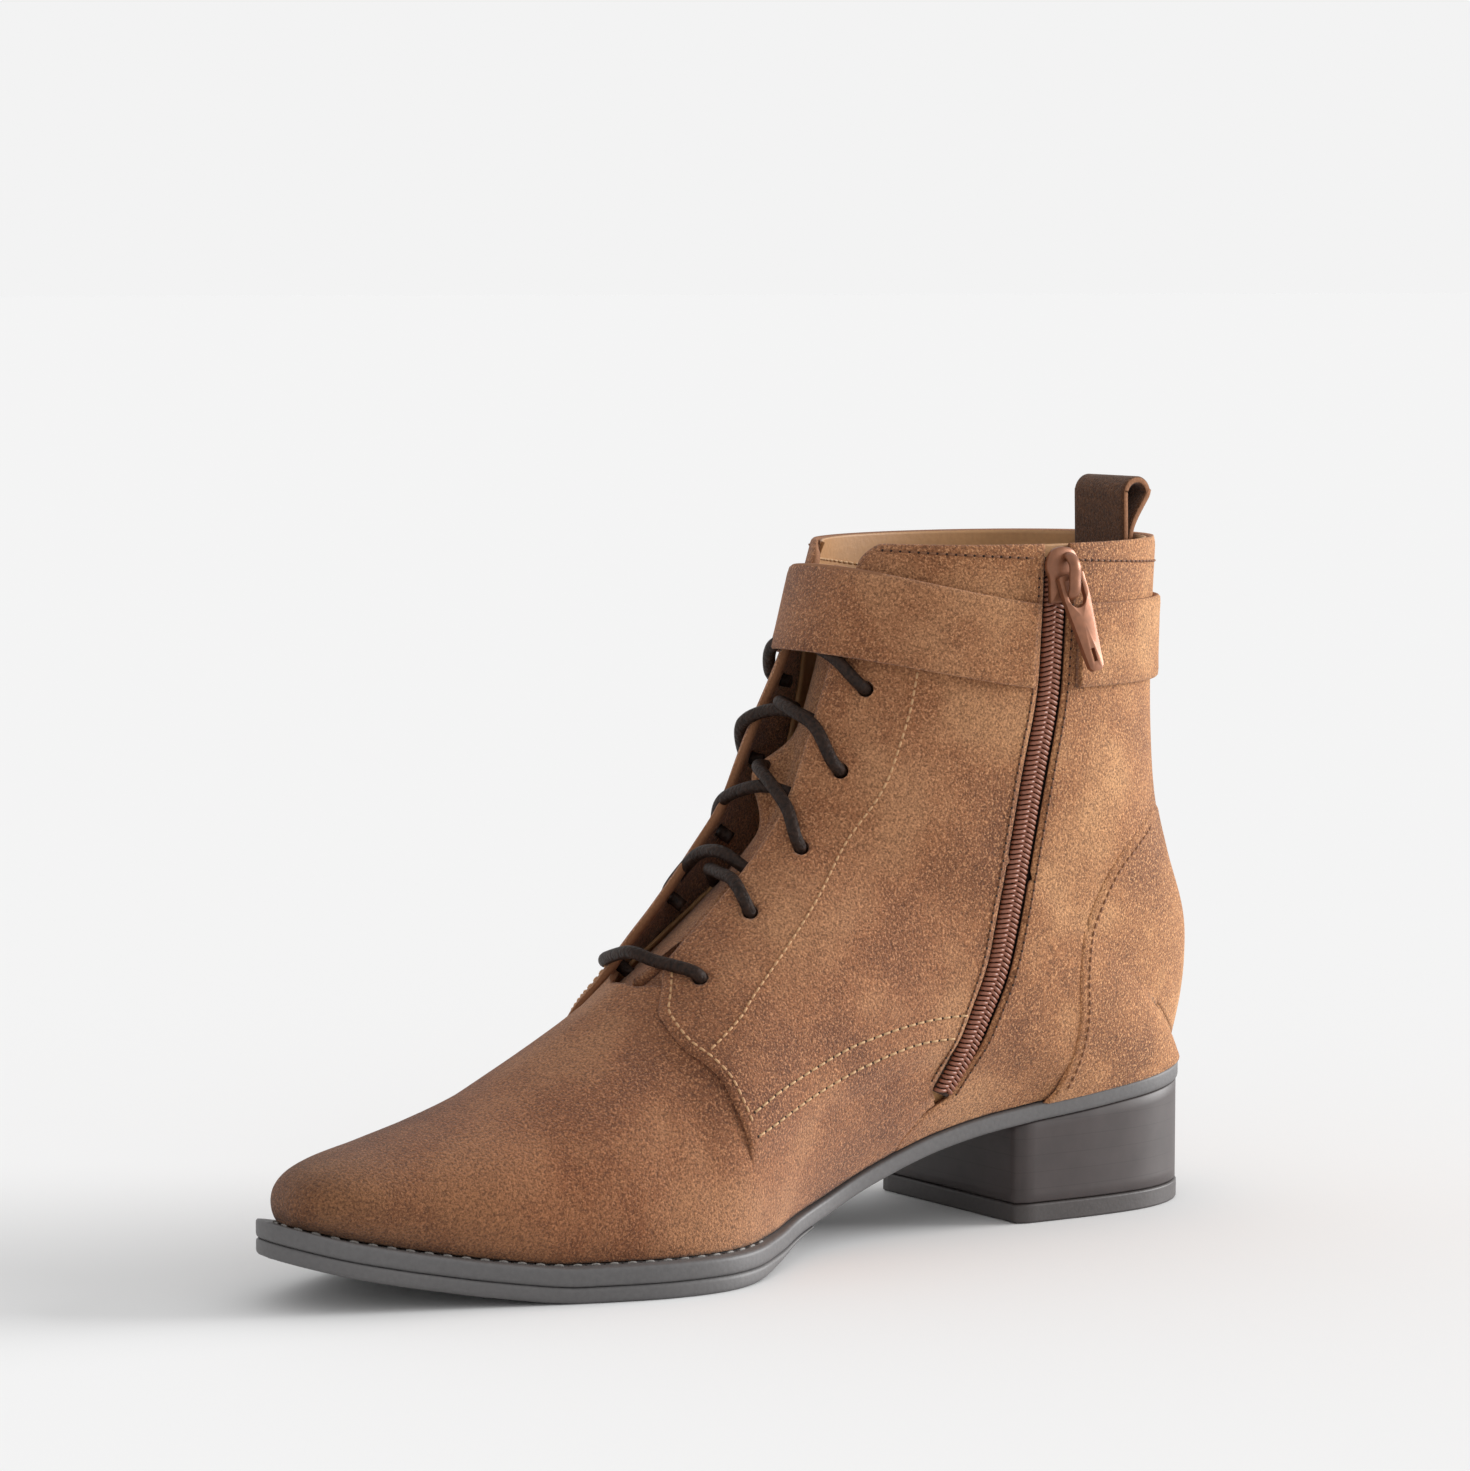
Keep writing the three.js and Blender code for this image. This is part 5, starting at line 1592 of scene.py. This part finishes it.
class BOOT_OT_heel(bpy.types.Operator):
    """Add the stacked heel and its top lift"""

    bl_idname = "boot.heel"
    bl_label = "Add Heel"

    def execute(self, context):
        heel_form("heel_stack_block", "heel_block", "stacked_heel", HEEL_INSET,
                  lambda at: np.full_like(at, LIFT + 0.1), lambda at: sole_heights(at)[0] - 0.05)
        heel_form("top_lift_rubber", "top_lift", "lift_rubber", HEEL_INSET - 0.3,
                  lambda at: np.zeros_like(at), lambda at: np.full_like(at, LIFT))
        return {"FINISHED"}


# Stitches
def sew(bm, holes, points, normals, share):
    """Stitches between points, each an arched bit of thread, with a dark dot of painted shade for the needle
    hole where two meet.
    """
    radius = sizes().thread / MM / 2
    for a, b, normal in zip(points, points[1:], normals):
        way = (b - a) * share
        start = a + (b - a) * (1 - share) / 2
        run = [start - normal * 0.35, start + way * 0.1, start + way * 0.5 + normal * 0.1,
               start + way * 0.9, start + way - normal * 0.35]
        add_tube(bm, run, radius, 6)
        if holes is not None:
            # A short dark tube at each needle hole is painted shade of the hole
            add_tube(holes, [a - normal * 0.4, a + normal * 0.05], radius * 1.1, 6)


def stitch_row(bm, holes, line, pitch, out, share=0.72, inside=False):
    """A row of stitches along places and turns, out mm over the surface that the function gives."""
    points = skin_point(line[:, 0], line[:, 1])
    length = np.linalg.norm(np.diff(points, axis=0), axis=1).sum()
    ends = resample(line, np.linspace(0, 1, max(2, round(length / pitch)) + 1))
    points, normals = skin_point(ends[:, 0], ends[:, 1]), skin_normal(ends[:, 0], ends[:, 1])
    points = points + normals * out(points)[:, None]
    sew(bm, holes, points, -normals if inside else normals, share)


def shifted(line, aside):
    """A line of places and turns moved sideways over the surface by a distance in mm."""
    near = 0.02
    place, turn = line[:, 0], line[:, 1]
    base = skin_point(place, turn)
    by_place = (skin_point(place - near, turn) - base) / -near
    by_turn = (skin_point(place, turn + near * 0.1) - base) / (near * 0.1)
    way = np.cross(np.gradient(base, axis=0), skin_normal(place, turn))
    way *= aside / np.linalg.norm(way, axis=1)[:, None]
    moves = [np.linalg.lstsq(np.column_stack([a, b]), move, rcond=None)[0]
             for a, b, move in zip(by_place, by_turn, way)]
    return line + np.array(moves)


def level_row(place, start, end):
    """A row at one place, from one turn to another."""
    turns = np.linspace(start, end, 40)
    return np.column_stack([np.full_like(turns, place), turns])


COLLAR_ROW = 18.86
FINE_PITCH = 2.1
WELT_PITCH = 4.2
WELT_STITCH_END = 9.6
EDGE_ROW = 2.4
COUNTER_ROW = 3.0
ZIP_ROW = 1.5


def lining_out(points):
    """Where the row inside the collar lies."""
    return quarter_out(points) - sizes().leather / MM - 0.8


def counter_out(points):
    """Where the counter's row lies."""
    return np.full(len(points), COUNTER_OUT + 0.03)


class BOOT_OT_stitches(bpy.types.Operator):
    """Add the rows of stitches"""

    bl_idname = "boot.stitches"
    bl_label = "Add Stitches"

    def execute(self, context):
        pitch = sizes().stitch_pitch / MM
        light, tan, brown, grey, holes = (bmesh.new() for _ in range(5))
        for side in (1, -1):
            cover = quarter_out if side > 0 else outer_cover
            for rows in (HIGH_STITCH, LOW_STITCH):
                stitch_row(light, holes, side_line(rows, side), pitch, cover)
            stitch_row(tan, None, side_line(EYESTAY_STITCH, side), FINE_PITCH, cover, 0.62)
            edge = front_border(side)[1:]
            edge = edge[edge[:, 0] < 8.9]
            stitch_row(tan, None, shifted(edge, EDGE_ROW * side)[2:-2], FINE_PITCH, cover, 0.6)
            stitch_row(brown, None, rear_line(side, COUNTER_ROW)[2:-2], FINE_PITCH, counter_out, 0.55)
            stitch_row(light, None, level_row(COLLAR_ROW - 0.2, side * 0.16, side), pitch, lining_out,
                       inside=True)
        zip_turn = zip_border(0)[-1, 1]
        lines = [level_row(COLLAR_ROW, start, end) for start, end in (
            (0.125, zip_turn - 0.045), (zip_turn + 0.045, 1), (-0.16, -1))]
        lines += [side_line(ZIP_LINE, 1, aside)[1:-1] for aside in (-ZIP_HALF - ZIP_ROW, ZIP_HALF + ZIP_ROW)]
        for line in lines:
            stitch_row(brown, holes, line, FINE_PITCH, quarter_out, 0.6)
        places = np.linspace(-WELT_STITCH_END, WELT_STITCH_END, 600)
        show = sole_heights(-ring_point(places)[:, 1] / SOLE_LENGTH)[3]
        line = edge_point(places, 1, np.maximum(show - 0.9, 0.7))
        steps = np.linalg.norm(np.diff(line, axis=0), axis=1)
        length = np.concatenate([[0], np.cumsum(steps)])
        spots = np.linspace(0, length[-1], round(length[-1] / WELT_PITCH) + 1)
        flat = np.column_stack([np.interp(spots, length, line[:, k]) for k in (0, 1)])
        height = sole_heights(-flat[:, 1] / SOLE_LENGTH)[2] + 0.05
        points = np.column_stack([flat, height])
        sew(grey, holes, points, np.tile([0.0, 0.0, 1.0], (len(points), 1)), 0.45)
        # The last mesh holds the dark dots of painted shade at the needle holes
        for name, bm, finish in (("double_seam_stitches", light, "light_thread"),
                                 ("facing_stitches", tan, "tan_thread"),
                                 ("edge_stitches", brown, "brown_thread"),
                                 ("welt_stitches", grey, "grey_thread"),
                                 ("painted_hole_shades", holes, "painted_hole_shade")):
            finish_mesh(bm, name, finish)
        return {"FINISHED"}


# The stage
CAMERA_AZIMUTH = math.radians(54.44)
CAMERA_PITCH = math.radians(5.45)
CAMERA_PLACE = (907.29, -776.93, 226.65)
LENS = 116.785
BACKDROP = "#F3F3F3"
SUN_FROM = (0.35, 0.92, 0.22)
SUN_POWER = 4.4
FILL_POWER = 0.76
SUN_SIZE = math.radians(35)
FLOOR_HALF = 60


class BOOT_OT_stage(bpy.types.Operator):
    """Add the floor, the light and the camera"""

    bl_idname = "boot.stage"
    bl_label = "Add Stage"

    def execute(self, context):
        scene = context.scene
        scene.view_settings.view_transform = "Standard"
        bm = bmesh.new()
        bmesh.ops.create_grid(bm, x_segments=1, y_segments=1, size=FLOOR_HALF)
        mesh = bpy.data.meshes.new("floor")
        bm.to_mesh(mesh)
        bm.free()
        floor = bpy.data.objects.new("floor", mesh)
        scene.collection.objects.link(floor)
        paint, _, shader, _ = new_material("studio_floor")
        shader.inputs["Base Color"].default_value = opaque(colours().floor)
        shader.inputs["Roughness"].default_value = 0.9
        shader.inputs["Specular IOR Level"].default_value = 0.0
        mesh.materials.append(paint)

        sun_data = bpy.data.lights.new("sun", "SUN")
        sun_data.energy = SUN_POWER
        sun_data.angle = SUN_SIZE
        sun = bpy.data.objects.new("sun", sun_data)
        sun.rotation_mode = "QUATERNION"
        sun.rotation_quaternion = Vector(SUN_FROM).to_track_quat("Z", "Y")
        scene.collection.objects.link(sun)

        world = bpy.data.worlds.new("studio")
        world.use_nodes = True
        scene.world = world
        tree = world.node_tree
        tree.nodes.clear()
        seen = add_node(tree, "ShaderNodeBackground", {
            "Color": opaque(hex_colour(BACKDROP)), "Strength": 1.0})
        fill = add_node(tree, "ShaderNodeBackground", {"Color": (1, 1, 1, 1), "Strength": FILL_POWER})
        ray = add_node(tree, "ShaderNodeLightPath").outputs["Is Camera Ray"]
        both = add_node(tree, "ShaderNodeMixShader", {
            0: ray, 1: fill.outputs["Background"], 2: seen.outputs["Background"]})
        add_node(tree, "ShaderNodeOutputWorld", {"Surface": both.outputs["Shader"]})

        data = bpy.data.cameras.new("camera")
        data.lens = LENS
        data.sensor_width = 36
        data.clip_start, data.clip_end = 0.05, 200
        camera = bpy.data.objects.new("camera", data)
        scene.collection.objects.link(camera)
        back = Vector((math.sin(CAMERA_AZIMUTH) * math.cos(CAMERA_PITCH),
                       -math.cos(CAMERA_AZIMUTH) * math.cos(CAMERA_PITCH), math.sin(CAMERA_PITCH)))
        right = Vector((math.cos(CAMERA_AZIMUTH), math.sin(CAMERA_AZIMUTH), 0))
        turn = Matrix((right, back.cross(right), back)).transposed()
        camera.rotation_mode = "QUATERNION"
        camera.rotation_quaternion = turn.to_quaternion()
        camera.location = to_frame(np.array(CAMERA_PLACE))
        scene.camera = camera
        return {"FINISHED"}


class BOOT_PT_panel(bpy.types.Panel):
    """Sizes, colours and pieces of the boot"""

    bl_idname = "BOOT_PT_panel"
    bl_label = "Ankle Boot"
    bl_space_type = "VIEW_3D"
    bl_region_type = "UI"
    bl_category = "Boot"

    def draw(self, context):
        layout = self.layout
        for settings in (context.scene.boot_sizes, context.scene.boot_colours):
            for name in settings.__annotations__:
                layout.prop(settings, name)
        for operator in OPERATORS:
            layout.operator(operator.bl_idname)


OPERATORS = [
    BOOT_OT_upper,
    BOOT_OT_counter,
    BOOT_OT_lining,
    BOOT_OT_tongue,
    BOOT_OT_lace,
    BOOT_OT_strap,
    BOOT_OT_loop,
    BOOT_OT_zip,
    BOOT_OT_slider,
    BOOT_OT_sole,
    BOOT_OT_heel,
    BOOT_OT_stitches,
    BOOT_OT_stage,
]
CLASSES = [BootSizes, BootColours, *OPERATORS, BOOT_PT_panel]


def register():
    for cls in CLASSES:
        bpy.utils.register_class(cls)
    bpy.types.Scene.boot_sizes = bpy.props.PointerProperty(type=BootSizes)
    bpy.types.Scene.boot_colours = bpy.props.PointerProperty(type=BootColours)


def unregister():
    del bpy.types.Scene.boot_colours
    del bpy.types.Scene.boot_sizes
    for cls in reversed(CLASSES):
        bpy.utils.unregister_class(cls)


def main():
    register()
    bpy.ops.boot.upper()
    bpy.ops.boot.counter()
    bpy.ops.boot.lining()
    bpy.ops.boot.tongue()
    bpy.ops.boot.lace()
    bpy.ops.boot.strap()
    bpy.ops.boot.loop()
    bpy.ops.boot.zip()
    bpy.ops.boot.slider()
    bpy.ops.boot.sole()
    bpy.ops.boot.heel()
    bpy.ops.boot.stitches()
    bpy.ops.boot.stage()


if __name__ == "__main__":
    main()
